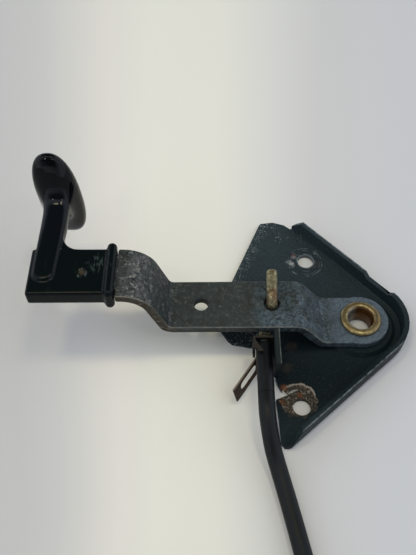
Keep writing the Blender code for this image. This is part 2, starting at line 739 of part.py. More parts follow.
def build_sheath_end(material):
    """The end of the sheath that the holder grips, bored for the inner wire."""
    length = SLEEVE_MOUTH_Y - SLEEVE_TAIL_Y
    outer = sheath_radius
    bore = SHEATH_BORE / 2
    profile = [(outer - 0.5, length), (outer, length - 0.5), (outer, 0.0), (bore, 0.0), (bore, length)]
    item = frozen(turned("sheath_end", profile, 24))
    item.data.transform(Matrix.Rotation(math.radians(-90.0), 4, "X"))
    item.location = metres(SHEATH_X, SLEEVE_TAIL_Y, sheath_z)
    return finish(item, material)


def build_holder(material):
    """Folded sheet holder: a back wall with the wire's hole, one side wall and a flap over it."""
    left = SHEATH_X - sheath_radius - CLEARANCE - HOLDER_SHEET
    right = LUG_X - CLEARANCE
    back = HOLDER_BACK_Y
    front = back - HOLDER_SHEET
    item = box("sheath_holder", (left, front, holder_bottom), (right, back, holder_top), PARTS)
    side = box("holder_side", (left, HOLDER_ARM_Y, holder_bottom), (left + HOLDER_SHEET, back - 0.2, holder_top))
    combine(item, side, "UNION")
    flap = slab(
        "holder_flap",
        [(left, back - 0.3), (left, HOLDER_FLAP_Y), (left + HOLDER_FLAP_REACH, HOLDER_FLAP_Y)],
        holder_top - HOLDER_SHEET, holder_top, CUTTERS,
    )
    combine(item, flap, "UNION")
    foot = box("holder_foot", (right - HOLDER_SHEET, front + 0.2, holder_bottom), (right, back + 2.2, holder_top - 3.0))
    combine(item, foot, "UNION")
    hole = cylinder("holder_hole", HOLDER_HOLE, -5.0, 5.0)
    hole.matrix_world = (
        Matrix.Translation(metres(SHEATH_X, back, sheath_z)) @ Matrix.Rotation(math.radians(90.0), 4, "X")
    )
    combine(item, hole, "DIFFERENCE")
    slope = box("holder_slope", (left - 2.0, -8.0, 0.0), (left + HOLDER_SHEET + 0.4, 8.0, 12.0))
    slope.matrix_world = (
        Matrix.Translation(metres(left, HOLDER_FLAP_Y - 0.4, holder_top + 1.2))
        @ Matrix.Rotation(math.radians(52.0), 4, "X")
        @ Matrix.Translation(metres(0.0, -8.0, 0.0))
    )
    combine(item, slope, "DIFFERENCE")
    return finish(item, material)


def build_spring(material):
    """A slotted leaf standing on edge, whose far end hooks round the lug."""
    start = Vector(SPRING_TAIL)
    knee = Vector(SPRING_STRAIGHT)
    along = (knee - start).normalized()
    out = Vector((along.y, -along.x)) * (SPRING_LEAN / 2)
    gap = CLEARANCE + SPRING_THICKNESS / 2
    side = LUG_X - gap - out.x
    over = LUG_FAR_Y + gap - out.y
    hook = [
        (side - 1.2, over - 3.8), (side - 0.7, over - 2.2), (side - 0.2, over - 0.9), (side + 0.7, over - 0.1),
        (LUG_X + 0.6, over), (LUG_X + SPRING_HOOK, over),
    ]
    middle = [tuple(start), tuple(knee)] + hook
    half = SPRING_THICKNESS / 2
    outline = offset_line(middle, half) + offset_line(middle, -half)[::-1]
    item = slab("anchor_spring", outline, spring_bottom, spring_bottom + SPRING_WIDTH)
    slot_half = SPRING_SLOT_WIDTH / 2
    centre = spring_bottom + SPRING_WIDTH / 2
    run = SPRING_SLOT_TO - SPRING_SLOT_FROM - SPRING_SLOT_WIDTH
    ends = arc((0.0, 0.0), slot_half, 90.0, 270.0, 8)
    ends += [(x + run, y) for x, y in arc((0.0, 0.0), slot_half, -90.0, 90.0, 8)]
    slot = slab("spring_slot", ends, -3.0, 3.0, CUTTERS)
    slot.matrix_world = (
        Matrix.Translation(metres(*(start + along * (SPRING_SLOT_FROM + slot_half)), centre))
        @ Matrix.Rotation(math.atan2(along.y, along.x), 4, "Z")
        @ Matrix.Rotation(math.radians(90.0), 4, "X")
    )
    combine(item, slot, "DIFFERENCE")
    item = frozen(item)
    item.data.transform(item.matrix_world)
    item.matrix_world = Matrix.Identity(4)
    for vert in item.data.vertices:
        share = (centre - vert.co.z / MM) / (SPRING_WIDTH / 2)
        vert.co.x += out.x * share * MM
        vert.co.y += out.y * share * MM
    return finish(item, material)


def smooth_route(points, spacing):
    """Points at about the spacing along a smooth curve through the given ones."""
    padded = [points[0] * 2 - points[1]] + points + [points[-1] * 2 - points[-2]]
    fine = []
    for a, b, c, d in zip(padded, padded[1:], padded[2:], padded[3:]):
        for i in range(20):
            t = i / 20
            fine.append(
                0.5 * ((2 * b) + (c - a) * t + (2 * a - 5 * b + 4 * c - d) * t * t
                       + (3 * b - a - 3 * c + d) * t * t * t)
            )
    fine.append(points[-1])
    total = sum((q - p).length for p, q in zip(fine, fine[1:]))
    count = max(int(round(total / spacing)), 2)
    route = [fine[0]]
    travelled = 0.0
    wanted = total / count
    for p, q in zip(fine, fine[1:]):
        step = (q - p).length
        while travelled + step >= wanted - 1e-9 and len(route) < count:
            route.append(p + (q - p) * ((wanted - travelled) / step))
            wanted += total / count
        travelled += step
    route.append(fine[-1])
    return route


def build_cable(materials):
    """The sheath from the bracket to the coil, the coil, and the tail with its end fitting."""
    lie = sheath_radius
    coil = Vector((*COIL_CENTRE, 0.0))
    outer_turn = COIL_MEAN_RADIUS + (COIL_ACROSS - 1) / 2 * SHEATH_DIAMETER
    outer = outer_turn + SHEATH_DIAMETER / 2
    inner = outer - COIL_ACROSS * SHEATH_DIAMETER
    height = COIL_LAYERS * SHEATH_DIAMETER
    joint = coil + Vector((outer_turn, 0.0, lie))
    route = [
        Vector((SHEATH_X, SLEEVE_TAIL_Y - CLEARANCE, sheath_z)),
        Vector((SHEATH_X, SLEEVE_TAIL_Y - 8.5, sheath_z)),
        Vector((-45.2, -56.0, 12.0)),
        Vector((-44.0, -62.5, 8.6)),
        Vector((-42.4, -68.0, 5.8)),
        Vector((-39.4, -79.5, 3.9)),
        Vector((-36.4, -93.0, lie + 0.05)),
        Vector((-33.3, -108.0, lie + 0.05)),
        Vector((-29.2, -128.0, lie + 0.05)),
        Vector((-26.4, -146.0, lie + 0.05)),
        Vector((joint.x, joint.y + 1.5, lie + 0.05)),
    ]
    sheath = tube("cable_sheath", smooth_route(route, 2.2 * SHEATH_DIAMETER / 2), SHEATH_DIAMETER, 3)
    finish(sheath, materials["sheath"])

    # The coil is cut open where the sheath and the tail run into it
    profile = [
        (outer - 2.0, height), (outer, height - 2.0), (outer, 2.0), (outer - 2.0, 0.0),
        (inner + 2.0, 0.0), (inner, 2.0), (inner, height - 2.0), (inner + 2.0, height),
    ]
    ring = frozen(turned("cable_coil", profile, 40))
    ring.location = metres(coil.x, coil.y, 0.05)
    gap = CLEARANCE
    entry = box(
        "coil_entry",
        (joint.x - lie - 7 * gap, joint.y + 1.5 - gap, -1.0), (joint.x + lie + 2.0, joint.y + 40.0, height + 1.0),
    )
    combine(ring, entry, "DIFFERENCE")
    tail_y = coil.y - outer_turn
    leave = box(
        "coil_exit",
        (coil.x - 45.0, tail_y - lie - 2.0, -1.0), (coil.x + 2 * gap, tail_y + lie + gap, height + 1.0),
    )
    combine(ring, leave, "DIFFERENCE")
    finish(ring, materials["sheath"], 30.0)

    fitting_z = FERRULE_DIAMETER / 2 + 0.05
    top = height - lie + 0.05
    tail_end = coil.x - TAIL_RUN
    tail_route = [
        Vector((coil.x, tail_y, top)),
        Vector((coil.x - 10.0, tail_y, top)),
        Vector((coil.x - 17.0, tail_y, 10.2)),
        Vector((coil.x - 24.5, tail_y, 7.6)),
        Vector((coil.x - 31.0, tail_y, 5.4)),
        Vector((coil.x - 36.5, tail_y, fitting_z + 0.02)),
        Vector((tail_end, tail_y, fitting_z)),
    ]
    tail = tube("cable_tail", smooth_route(tail_route, 2.2 * SHEATH_DIAMETER / 2), SHEATH_DIAMETER, 3)
    finish(tail, materials["sheath"])

    # End ferrule, inner wire and barrel nipple
    ferrule_end = tail_end - CLEARANCE - FERRULE_LENGTH
    radius = FERRULE_DIAMETER / 2
    bore = FERRULE_BORE / 2
    profile = [
        (radius - 0.6, FERRULE_LENGTH), (radius, FERRULE_LENGTH - 0.6), (radius, 6.0), (radius - 1.4, 4.6),
        (radius - 1.4, 0.6), (radius - 2.0, 0.0), (bore, 0.0), (bore, FERRULE_LENGTH),
    ]
    ferrule = frozen(turned("end_ferrule", profile, 24))
    ferrule.data.transform(Matrix.Rotation(math.radians(90.0), 4, "Y"))
    ferrule.location = metres(ferrule_end, tail_y, fitting_z)
    finish(ferrule, materials["ferrule"])

    wire_start = Vector((tail_end - 2 * CLEARANCE, tail_y, fitting_z))
    wire_end = Vector((ferrule_end - FAR_WIRE_LENGTH, tail_y, NIPPLE_DIAMETER / 2 + 0.05))
    knee = Vector((ferrule_end - 1.0, tail_y, fitting_z))
    wire = tube("end_wire", [wire_start, knee, wire_end], WIRE_DIAMETER, 2)
    finish(wire, materials["wire"])

    nipple = cylinder("end_nipple", NIPPLE_DIAMETER, -NIPPLE_LENGTH / 2, NIPPLE_LENGTH / 2, steps=24, collection=PARTS)
    nipple.location = (0.0, 0.0, 0.0)
    nipple.data.transform(Matrix.Rotation(math.radians(90.0), 4, "X"))
    nipple.location = metres(wire_end.x - CLEARANCE - NIPPLE_DIAMETER / 2, wire_end.y, wire_end.z)
    finish(nipple, materials["wire"])

    # The tie that holds the turns together
    spare = 2 * CLEARANCE
    angle = math.radians(TIE_ANGLE)
    loop = box(
        "coil_tie",
        (inner - spare - TIE_THICKNESS, -TIE_WIDTH / 2, 0.0),
        (outer + spare + TIE_THICKNESS, TIE_WIDTH / 2, height + 0.4 + 2 * TIE_THICKNESS),
        PARTS,
    )
    round_edges(loop, 0.6, 2)
    loop = frozen(loop)
    window = box(
        "tie_window",
        (inner - spare, -TIE_WIDTH, -TIE_THICKNESS), (outer + spare, TIE_WIDTH, height + 0.4 + TIE_THICKNESS),
    )
    turn = Matrix.Translation(coil * MM) @ Matrix.Rotation(angle, 4, "Z")
    loop.matrix_world = turn @ loop.matrix_world
    window.matrix_world = turn @ Matrix.Translation(window.location)
    combine(loop, window, "DIFFERENCE")
    finish(loop, materials["tie"])


def build_lever_assembly():
    black_paint = make_material("black_painted_steel", (0.012, 0.019, 0.023), 0.5)
    bar_steel = make_material("worn_zinc_steel", (0.10, 0.11, 0.11), 0.5, 0.6)
    moulding = make_material("black_moulded_plastic", (0.008, 0.010, 0.011), 0.22)
    yellow_zinc = make_material("yellow_zinc", (0.45, 0.33, 0.12), 0.4, 0.8)
    rod_zinc = make_material("dull_yellow_zinc", (0.38, 0.33, 0.17), 0.45, 0.7)
    wire_steel = make_material("steel_wire", (0.35, 0.35, 0.34), 0.4, 0.9)
    sheath_vinyl = make_material("black_vinyl_sheath", (0.012, 0.014, 0.016), 0.4)
    spring_steel = make_material("rusty_spring_steel", (0.08, 0.05, 0.03), 0.6, 0.5)
    holder_steel = make_material("grey_painted_steel", (0.05, 0.055, 0.06), 0.5, 0.2)
    ferrule_zinc = make_material("bright_zinc", (0.5, 0.5, 0.5), 0.35, 0.9)
    tie_nylon = make_material("black_nylon", (0.015, 0.015, 0.015), 0.5)

    build_bracket(black_paint)
    build_rivet(yellow_zinc)
    lever = build_lever(bar_steel)
    grip = build_grip(moulding)
    rod = build_rod(rod_zinc)
    wire = build_inner_wire(wire_steel)
    build_holder(holder_steel)
    build_spring(spring_steel)
    build_sheath_end(sheath_vinyl)
    build_cable({"sheath": sheath_vinyl, "ferrule": ferrule_zinc, "wire": wire_steel, "tie": tie_nylon})

    # Moving pieces hang from empties on their joint axes
    lever_axis = bpy.data.objects.new("lever_axis", None)
    rod_axis = bpy.data.objects.new("rod_axis", None)
    for empty in (lever_axis, rod_axis):
        PARTS.objects.link(empty)
    rod_axis.location = metres(ROD_HOLE_X, 0.0, 0.0)
    rod_axis.parent = lever_axis
    bpy.context.view_layer.update()
    for item, parent in ((lever, lever_axis), (grip, lever_axis), (rod, rod_axis), (wire, rod_axis)):
        item.parent = parent
        item.matrix_parent_inverse = parent.matrix_world.inverted()

    # All of it was modelled round the pivot; the frame's origin is midway between the bolt holes
    shift = Matrix.Translation(metres(-origin_x, -origin_y, 0.0))
    for item in (*PARTS.objects, *CUTTERS.objects):
        if item.parent is None:
            item.matrix_world = shift @ item.matrix_world


build_lever_assembly()
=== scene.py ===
import json
import math

import bpy
from mathutils import Euler, Matrix, Vector


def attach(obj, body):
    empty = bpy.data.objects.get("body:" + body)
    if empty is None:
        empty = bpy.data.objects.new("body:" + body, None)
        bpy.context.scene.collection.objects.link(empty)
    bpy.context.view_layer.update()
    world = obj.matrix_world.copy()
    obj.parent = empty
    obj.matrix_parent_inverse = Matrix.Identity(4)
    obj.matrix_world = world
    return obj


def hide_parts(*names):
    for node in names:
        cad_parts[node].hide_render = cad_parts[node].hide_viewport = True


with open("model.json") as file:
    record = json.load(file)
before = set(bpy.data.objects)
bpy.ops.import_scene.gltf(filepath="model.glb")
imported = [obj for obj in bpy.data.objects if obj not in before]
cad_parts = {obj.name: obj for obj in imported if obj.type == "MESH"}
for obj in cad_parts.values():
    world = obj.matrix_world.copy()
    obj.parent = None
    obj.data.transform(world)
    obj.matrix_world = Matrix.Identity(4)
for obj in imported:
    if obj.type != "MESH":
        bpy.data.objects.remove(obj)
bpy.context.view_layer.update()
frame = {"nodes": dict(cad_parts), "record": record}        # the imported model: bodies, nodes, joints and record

mm = 0.001
record = frame["record"]
joints = {joint["name"]: joint for joint in record["behaviour"]["joints"]}
bodyOf = {node: body for body, nodes in record["behaviour"]["bodies"].items() for node in nodes}
pivot = Vector(joints["lever_pivot"]["pos_m"])


def at(x, y, z):         # millimetres from the pivot's axis and up from the table
    return Vector((pivot.x + x * mm, pivot.y + y * mm, z * mm))


# Nodes and colours

def linear(code):        # an sRGB hex colour as linear RGBA
    shades = [int(code[i:i + 2], 16) / 255 for i in (1, 3, 5)]
    return (*(s / 12.92 if s <= 0.04045 else ((s + 0.055) / 1.055) ** 2.4 for s in shades), 1.0)


def addNode(tree, kind, settings=None, links=None):
    node = tree.nodes.new("ShaderNode" + kind)
    for key, value in (settings or {}).items():
        if isinstance(key, str) and hasattr(node, key):
            setattr(node, key, value)
        else:
            node.inputs[key].default_value = value
    for key, source in (links or {}).items():
        socket = source if isinstance(source, bpy.types.NodeSocket) else source.outputs[0]
        tree.links.new(socket, node.inputs[key])
    return node


def newMaterial(name, settings):
    # A material with its tree, its shader and the Object coordinates that its patterns read
    material = bpy.data.materials.new(name)
    material.use_nodes = True
    tree = material.node_tree
    shader = tree.nodes["Principled BSDF"]
    for key, value in settings.items():
        shader.inputs[key].default_value = value
    return material, tree, shader, addNode(tree, "TexCoord").outputs["Object"]


def patterns(tree, place, table):
    # Mottled patterns by name, each from its size in millimetres, the noise's values where it starts and
    # is full, its seed, detail and roughness, and its stretch where it has one
    made = {}
    for name, (size, low, high, seed, detail, rough, *stretch) in table.items():
        moved = addNode(tree, "Mapping", {"Location": seed, "Scale": stretch[0] if stretch else (1, 1, 1)},
                        {"Vector": place})
        cloud = addNode(tree, "TexNoise", {"Scale": 1 / (size * mm), "Detail": detail, "Roughness": rough},
                        {"Vector": moved})
        made[name] = addNode(tree, "MapRange", {"From Min": low, "From Max": high}, {"Value": cloud})
    return made


def product(tree, *masks):
    # Masks, and numbers that weaken them, multiplied into one
    total = masks[0]
    for mask in masks[1:]:
        if isinstance(mask, (int, float)):
            total = addNode(tree, "Math", {"operation": "MULTIPLY", 1: mask}, {0: total})
        else:
            total = addNode(tree, "Math", {"operation": "MULTIPLY"}, {0: total, 1: mask})
    return total


def either(tree, *masks):
    total = masks[0]
    for mask in masks[1:]:
        total = addNode(tree, "Math", {"operation": "MAXIMUM"}, {0: total, 1: mask})
    return total


def lay(tree, under, over, *masks):
    # One colour laid over another, as far as all the masks together let it show
    settings = {"data_type": "RGBA", "clamp_factor": True}
    links = {0: product(tree, *masks)}
    for slot, colour in ((6, under), (7, over)):
        if isinstance(colour, str):
            settings[slot] = linear(colour)
        else:
            links[slot] = colour
    return addNode(tree, "Mix", settings, links).outputs[2]


def nearPoint(tree, place, centre, inner, outer, wander=None, ragged=0.0):
    # 1 within inner millimetres of a point, 0 past outer; a pattern can make that edge ragged
    far = addNode(tree, "VectorMath", {"operation": "DISTANCE", 1: centre}, {0: place}).outputs["Value"]
    if wander:
        pushed = addNode(tree, "MapRange", {"To Min": -ragged * mm, "To Max": ragged * mm},
                         {"Value": wander})
        far = addNode(tree, "Math", {"operation": "ADD"}, {0: far, 1: pushed})
    return addNode(tree, "MapRange", {"From Min": outer * mm, "From Max": inner * mm}, {"Value": far})


def ring(tree, place, centre, radius, width, wander, ragged):
    # 1 on a ragged circle round a point, 0 from half a width to either side of it
    far = addNode(tree, "VectorMath", {"operation": "DISTANCE", 1: centre}, {0: place}).outputs["Value"]
    settings = {"To Min": -(radius + ragged) * mm, "To Max": -(radius - ragged) * mm}
    inwards = addNode(tree, "MapRange", settings, {"Value": wander})
    off = addNode(tree, "Math", {"operation": "ADD"}, {0: far, 1: inwards})
    off = addNode(tree, "Math", {"operation": "ABSOLUTE"}, {0: off})
    return addNode(tree, "MapRange", {"From Min": width / 2 * mm, "From Max": width / 4 * mm},
                   {"Value": off})


def past(tree, place, point, way, start, end):
    # How far a place lies past a point along a direction: 0 at start millimetres and 1 at end
    way = Vector(way).normalized()
    reach = addNode(tree, "VectorMath", {"operation": "DOT_PRODUCT", 1: way}, {0: place}).outputs["Value"]
    base = Vector(point).dot(way)
    return addNode(tree, "MapRange", {"From Min": base + start * mm, "From Max": base + end * mm},
                   {"Value": reach})


def alongBar(tree, place, low, high, soft):
    # 1 between two distances along X from the pivot, fading over soft millimetres at each
    start = past(tree, place, at(low, 0, 0), (1, 0, 0), -soft / 2, soft / 2)
    end = past(tree, place, at(high, 0, 0), (-1, 0, 0), -soft / 2, soft / 2)
    return product(tree, start, end)


def paint(tree, shader, colour, relief=None, **shares):
    # Links the colour, other sockets as a mask with their values at its 0 and 1, and a bump as a pattern
    # with its depth in millimetres and its strength
    names = {"roughness": "Roughness", "metallic": "Metallic", "specular": "Specular IOR Level"}
    tree.links.new(colour, shader.inputs["Base Color"])
    for key, (mask, low, high) in shares.items():
        share = addNode(tree, "MapRange", {"To Min": low, "To Max": high}, {"Value": mask})
        tree.links.new(share.outputs[0], shader.inputs[names[key]])
    if relief:
        height, depth, strength = relief
        bump = addNode(tree, "Bump", {"Distance": depth * mm, "Strength": strength}, {"Height": height})
        tree.links.new(bump.outputs[0], shader.inputs["Normal"])


# Modelling helpers

strandStep = 0.35        # millimetres from point to point along a strand
curveSteps = 20          # steps between two given points of a smooth route


def pick(piece):
    bpy.ops.object.select_all(action="DESELECT")
    piece.select_set(True)
    bpy.context.view_layer.objects.active = piece


def edit(piece, action="SELECT"):
    pick(piece)
    bpy.ops.object.mode_set(mode="EDIT")
    bpy.ops.mesh.select_mode(type="VERT")
    bpy.ops.mesh.select_all(action=action)


def closeEdit():
    bpy.ops.object.mode_set(mode="OBJECT")


def applyModifiers(piece):
    pick(piece)
    for modifier in list(piece.modifiers):
        bpy.ops.object.modifier_apply(modifier=modifier.name)


def roundEdges(piece, width, segments=2, angle=35.0):
    pick(piece)
    bpy.ops.object.shade_smooth()
    bevel = piece.modifiers.new("roundEdges", "BEVEL")
    bevel.width = width * mm
    bevel.segments = segments
    bevel.limit_method = "ANGLE"
    bevel.angle_limit = math.radians(angle)
    bevel.harden_normals = True
    applyModifiers(piece)


def settle(piece):       # the object's own place goes into its mesh
    pick(piece)
    bpy.ops.object.transform_apply(location=True, rotation=True, scale=True)


def nodeCopy(node, name):
    # A copy of a CAD node's mesh, merged and with its flat triangles joined
    piece = bpy.data.objects.new(name, frame["nodes"][node].data.copy())
    bpy.context.scene.collection.objects.link(piece)
    pick(piece)
    bpy.ops.mesh.customdata_custom_splitnormals_clear()
    edit(piece)
    bpy.ops.mesh.remove_doubles(threshold=0.01 * mm)
    bpy.ops.mesh.dissolve_limited(angle_limit=math.radians(0.4))
    closeEdit()
    return piece


def block(name, low, high, width, segments=4):
    # A box between two corners in millimetres, its edges rounded where a width is given
    centre = (Vector(low) + Vector(high)) / 2
    bpy.ops.object.select_all(action="DESELECT")
    bpy.ops.mesh.primitive_cube_add(size=1.0, location=at(*centre))
    piece = bpy.context.object
    piece.name = name
    piece.scale = (Vector(high) - Vector(low)) * mm
    settle(piece)
    if width:
        edit(piece)
        bpy.ops.mesh.select_mode(type="EDGE")
        bpy.ops.mesh.select_all(action="SELECT")
        bpy.ops.mesh.bevel(offset=width * mm, segments=segments, affect="EDGES", clamp_overlap=True)
        closeEdit()
    return piece


def combine(piece, other, operation):
    step = piece.modifiers.new(operation.lower(), "BOOLEAN")
    step.operation = operation
    step.solver = "EXACT"
    step.object = other
    applyModifiers(piece)
    bpy.data.objects.remove(other, do_unlink=True)


def standFor(piece, material, *nodes):
    piece.data.materials.clear()
    piece.data.materials.append(material)
    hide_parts(*nodes)
    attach(piece, bodyOf[nodes[0]])


def turnedPiece(name, profile, centre, axis, steps):
    # A profile of radius and height in millimetres, spun about an axis through the centre
    bpy.ops.object.select_all(action="DESELECT")
    bpy.ops.mesh.primitive_circle_add(vertices=len(profile), radius=mm, fill_type="NOTHING")
    piece = bpy.context.object
    piece.name = name
    for vert, (radius, height) in zip(piece.data.vertices, profile):
        vert.co = (radius * mm, 0.0, height * mm)
    edit(piece)
    bpy.ops.mesh.spin(steps=steps, angle=2 * math.pi, center=(0, 0, 0), axis=(0, 0, 1))
    bpy.ops.mesh.select_all(action="SELECT")
    bpy.ops.mesh.remove_doubles(threshold=0.005 * mm)
    bpy.ops.mesh.normals_make_consistent(inside=False)
    closeEdit()
    turn = Vector((0, 0, 1)).rotation_difference(Vector(axis)).to_matrix().to_4x4()
    piece.matrix_world = Matrix.Translation(centre) @ turn
    settle(piece)
    bpy.ops.object.shade_smooth_by_angle(angle=math.radians(32))
    return piece


def smoothRoute(points, spacing):
    # Points at about the spacing along a smooth curve through the given ones
    padded = [points[0] * 2 - points[1]] + points + [points[-1] * 2 - points[-2]]
    fine = []
    for a, b, c, d in zip(padded, padded[1:], padded[2:], padded[3:]):
        for i in range(curveSteps):
            t = i / curveSteps
            bend = 2 * a - 5 * b + 4 * c - d
            twist = 3 * b - a - 3 * c + d
            fine.append(0.5 * (2 * b + (c - a) * t + bend * t * t + twist * t * t * t))
    fine.append(points[-1])
    total = sum((q - p).length for p, q in zip(fine, fine[1:]))
    count = max(round(total / spacing), 2)
    route = [fine[0]]
    travelled = 0.0
    for p, q in zip(fine, fine[1:]):
        step = (q - p).length
        while len(route) < count and travelled + step >= len(route) * total / count:
            route.append(p.lerp(q, (len(route) * total / count - travelled) / step))
        travelled += step
    return route + [fine[-1]]


def roundLine(name, points, diameter, sides):
    # A capped curve with a round section of a diameter in millimetres
    data = bpy.data.curves.new(name, "CURVE")
    data.dimensions = "3D"
    data.bevel_depth = diameter / 2 * mm
    data.bevel_resolution = sides
    data.use_fill_caps = True
    spline = data.splines.new("POLY")
    spline.points.add(len(points) - 1)
    for point, place in zip(spline.points, points):
        point.co = (*place, 1.0)
    spline.use_smooth = True
    piece = bpy.data.objects.new(name, data)
    bpy.context.scene.collection.objects.link(piece)
    return piece


def strandedWire(name, points, diameter, pitch):
    # Six strands laid round a straight one, each a third as thick as the wire, with a turn per pitch
    strand = diameter / 3
    fine = smoothRoute(points, strandStep * mm)
    lines = [roundLine(name + "Core", fine, strand, 1)]
    for k in range(6):
        laid = []
        travelled = 0.0
        for i, place in enumerate(fine):
            ahead = (fine[min(i + 1, len(fine) - 1)] - fine[max(i - 1, 0)]).normalized()
            side = ahead.cross(Vector((0, 0, 1))).normalized()
            up = side.cross(ahead)
            angle = 2 * math.pi * (k / 6 + travelled / (pitch * mm))
            laid.append(place + (side * math.cos(angle) + up * math.sin(angle)) * strand * mm)
            travelled += (fine[min(i + 1, len(fine) - 1)] - place).length
        lines.append(roundLine(f"{name}Strand{k}", laid, strand, 1))
    bpy.ops.object.select_all(action="DESELECT")
    for line in lines:
        line.select_set(True)
    bpy.context.view_layer.objects.active = lines[0]
    bpy.ops.object.convert(target="MESH")
    bpy.ops.object.join()
    piece = bpy.context.object
    piece.name = name
    edit(piece)
    bpy.ops.mesh.remove_doubles(threshold=0.002 * mm)
    bpy.ops.mesh.normals_make_consistent(inside=False)
    closeEdit()
    return piece


# Camera

view = {
    "place": (-67.54, -174.69, 283.56), "turn": (0.6266, 0.0115, 0.0003),
    # focal length and height of the picture in pixels, and the sensor's height in millimetres
    "focal": 700, "height": 555, "sensor": 36, "nearest": 10,
}


def makeCamera():
    data = bpy.data.cameras.new("camera")
    camera = bpy.data.objects.new("camera", data)
    bpy.context.scene.collection.objects.link(camera)
    camera.location = at(*view["place"])
    camera.rotation_euler = Euler(view["turn"], "XYZ")
    data.sensor_width = view["sensor"]
    data.lens = view["focal"] / view["height"] * view["sensor"]
    data.clip_start = view["nearest"] * mm
    bpy.context.scene.camera = camera


makeCamera()


# The cable, with its coil just below the picture

cable = {
    "diameter": 7.2, "length": 1.22, "sides": 5,
    # the finish: its shader's values, its bump's depth in millimetres and strength, and its roughness
    # at a pattern's 0 and 1
    "black": "#080c0e", "sheen": "#181e22", "shader": {"IOR": 1.52, "Specular IOR Level": 0.16},
    "relief": (0.02, 0.5), "rough": (0.42, 0.58),
    "patterns": {
        "scuff": (3.5, 0.52, 0.74, (1, 4, 2), 5.0, 0.65, (1, 0.35, 1)),
        "fine": (0.7, 0.3, 0.75, (5, 1, 1), 4.0, 0.55),
    },
    # the coil's centre, and its winding as angle gone round, radius and height: the bottom layer goes
    # inwards and the top layer outwards
    "coil": (-72.5, -163.5),
    "winding": [(0, 46.4, 3.65), (180, 46.4, 3.65), (360, 39.2, 3.65), (540, 39.2, 3.65), (720, 32.0, 3.65),
                (770, 32.0, 3.65), (900, 32.0, 10.85), (1080, 39.2, 10.85), (1260, 39.2, 10.85),
                (1440, 46.4, 10.85), (1530, 46.4, 10.85)],
    "toCoil": [(-46.0, -41.3, 14.9), (-46.0, -49.5, 14.9), (-45.2, -56.0, 12.0), (-44.0, -62.5, 8.6),
               (-42.4, -68.0, 5.8), (-39.4, -79.5, 3.9), (-36.4, -93.0, 3.65), (-33.3, -108.0, 3.65),
               (-29.2, -128.0, 3.65), (-26.4, -146.0, 3.65), (-26.1, -162.0, 3.65)],
    "fromCoil": [(-72.5, -209.9, 10.85), (-82.5, -209.9, 10.85), (-89.5, -209.9, 10.2),
                 (-97.0, -209.9, 7.6), (-103.5, -209.9, 5.4), (-109.0, -209.9, 4.67),
                 (-113.0, -209.9, 4.65)],
    # from point to point, in millimetres on the free stretches and in degrees round the coil
    "spacing": 4, "step": 5,
}


def woundPoints():
    c = cable
    x, y = c["coil"]
    points = []
    for (fromAngle, fromRadius, fromHeight), (toAngle, toRadius, toHeight) in zip(
            c["winding"], c["winding"][1:]):
        count = int((toAngle - fromAngle) / c["step"])
        for i in range(count):
            share = i / count
            ease = share * share * (3 - 2 * share)
            angle = math.radians(fromAngle + (toAngle - fromAngle) * share)
            radius = fromRadius + (toRadius - fromRadius) * ease
            height = fromHeight + (toHeight - fromHeight) * ease
            points.append(at(x + radius * math.cos(angle), y - radius * math.sin(angle), height))
    return points


def vinylSheath():
    # Extruded black vinyl over a wound steel conduit: half gloss, scuffed grey by handling
    c = cable
    material, tree, shader, place = newMaterial("extrudedBlackVinyl", c["shader"])
    p = patterns(tree, place, c["patterns"])
    colour = lay(tree, c["black"], c["sheen"], p["scuff"], 0.5)
    paint(tree, shader, colour, (p["fine"], *c["relief"]), roughness=(p["scuff"], *c["rough"]))
    return material


def makeCable():
    c = cable
    way = [at(*point) for point in c["toCoil"]]
    away = [at(*point) for point in c["fromCoil"]]
    spacing = c["spacing"] * mm
    points = smoothRoute(way, spacing) + woundPoints() + smoothRoute(away, spacing)
    piece = roundLine("cableSheath", points, c["diameter"], c["sides"])
    piece.data.materials.append(vinylSheath())
    length = sum((q - p).length for p, q in zip(points, points[1:]))
    print("cable", round(length, 4), "m")
    return piece


cableSheath = makeCable()


# Bracket

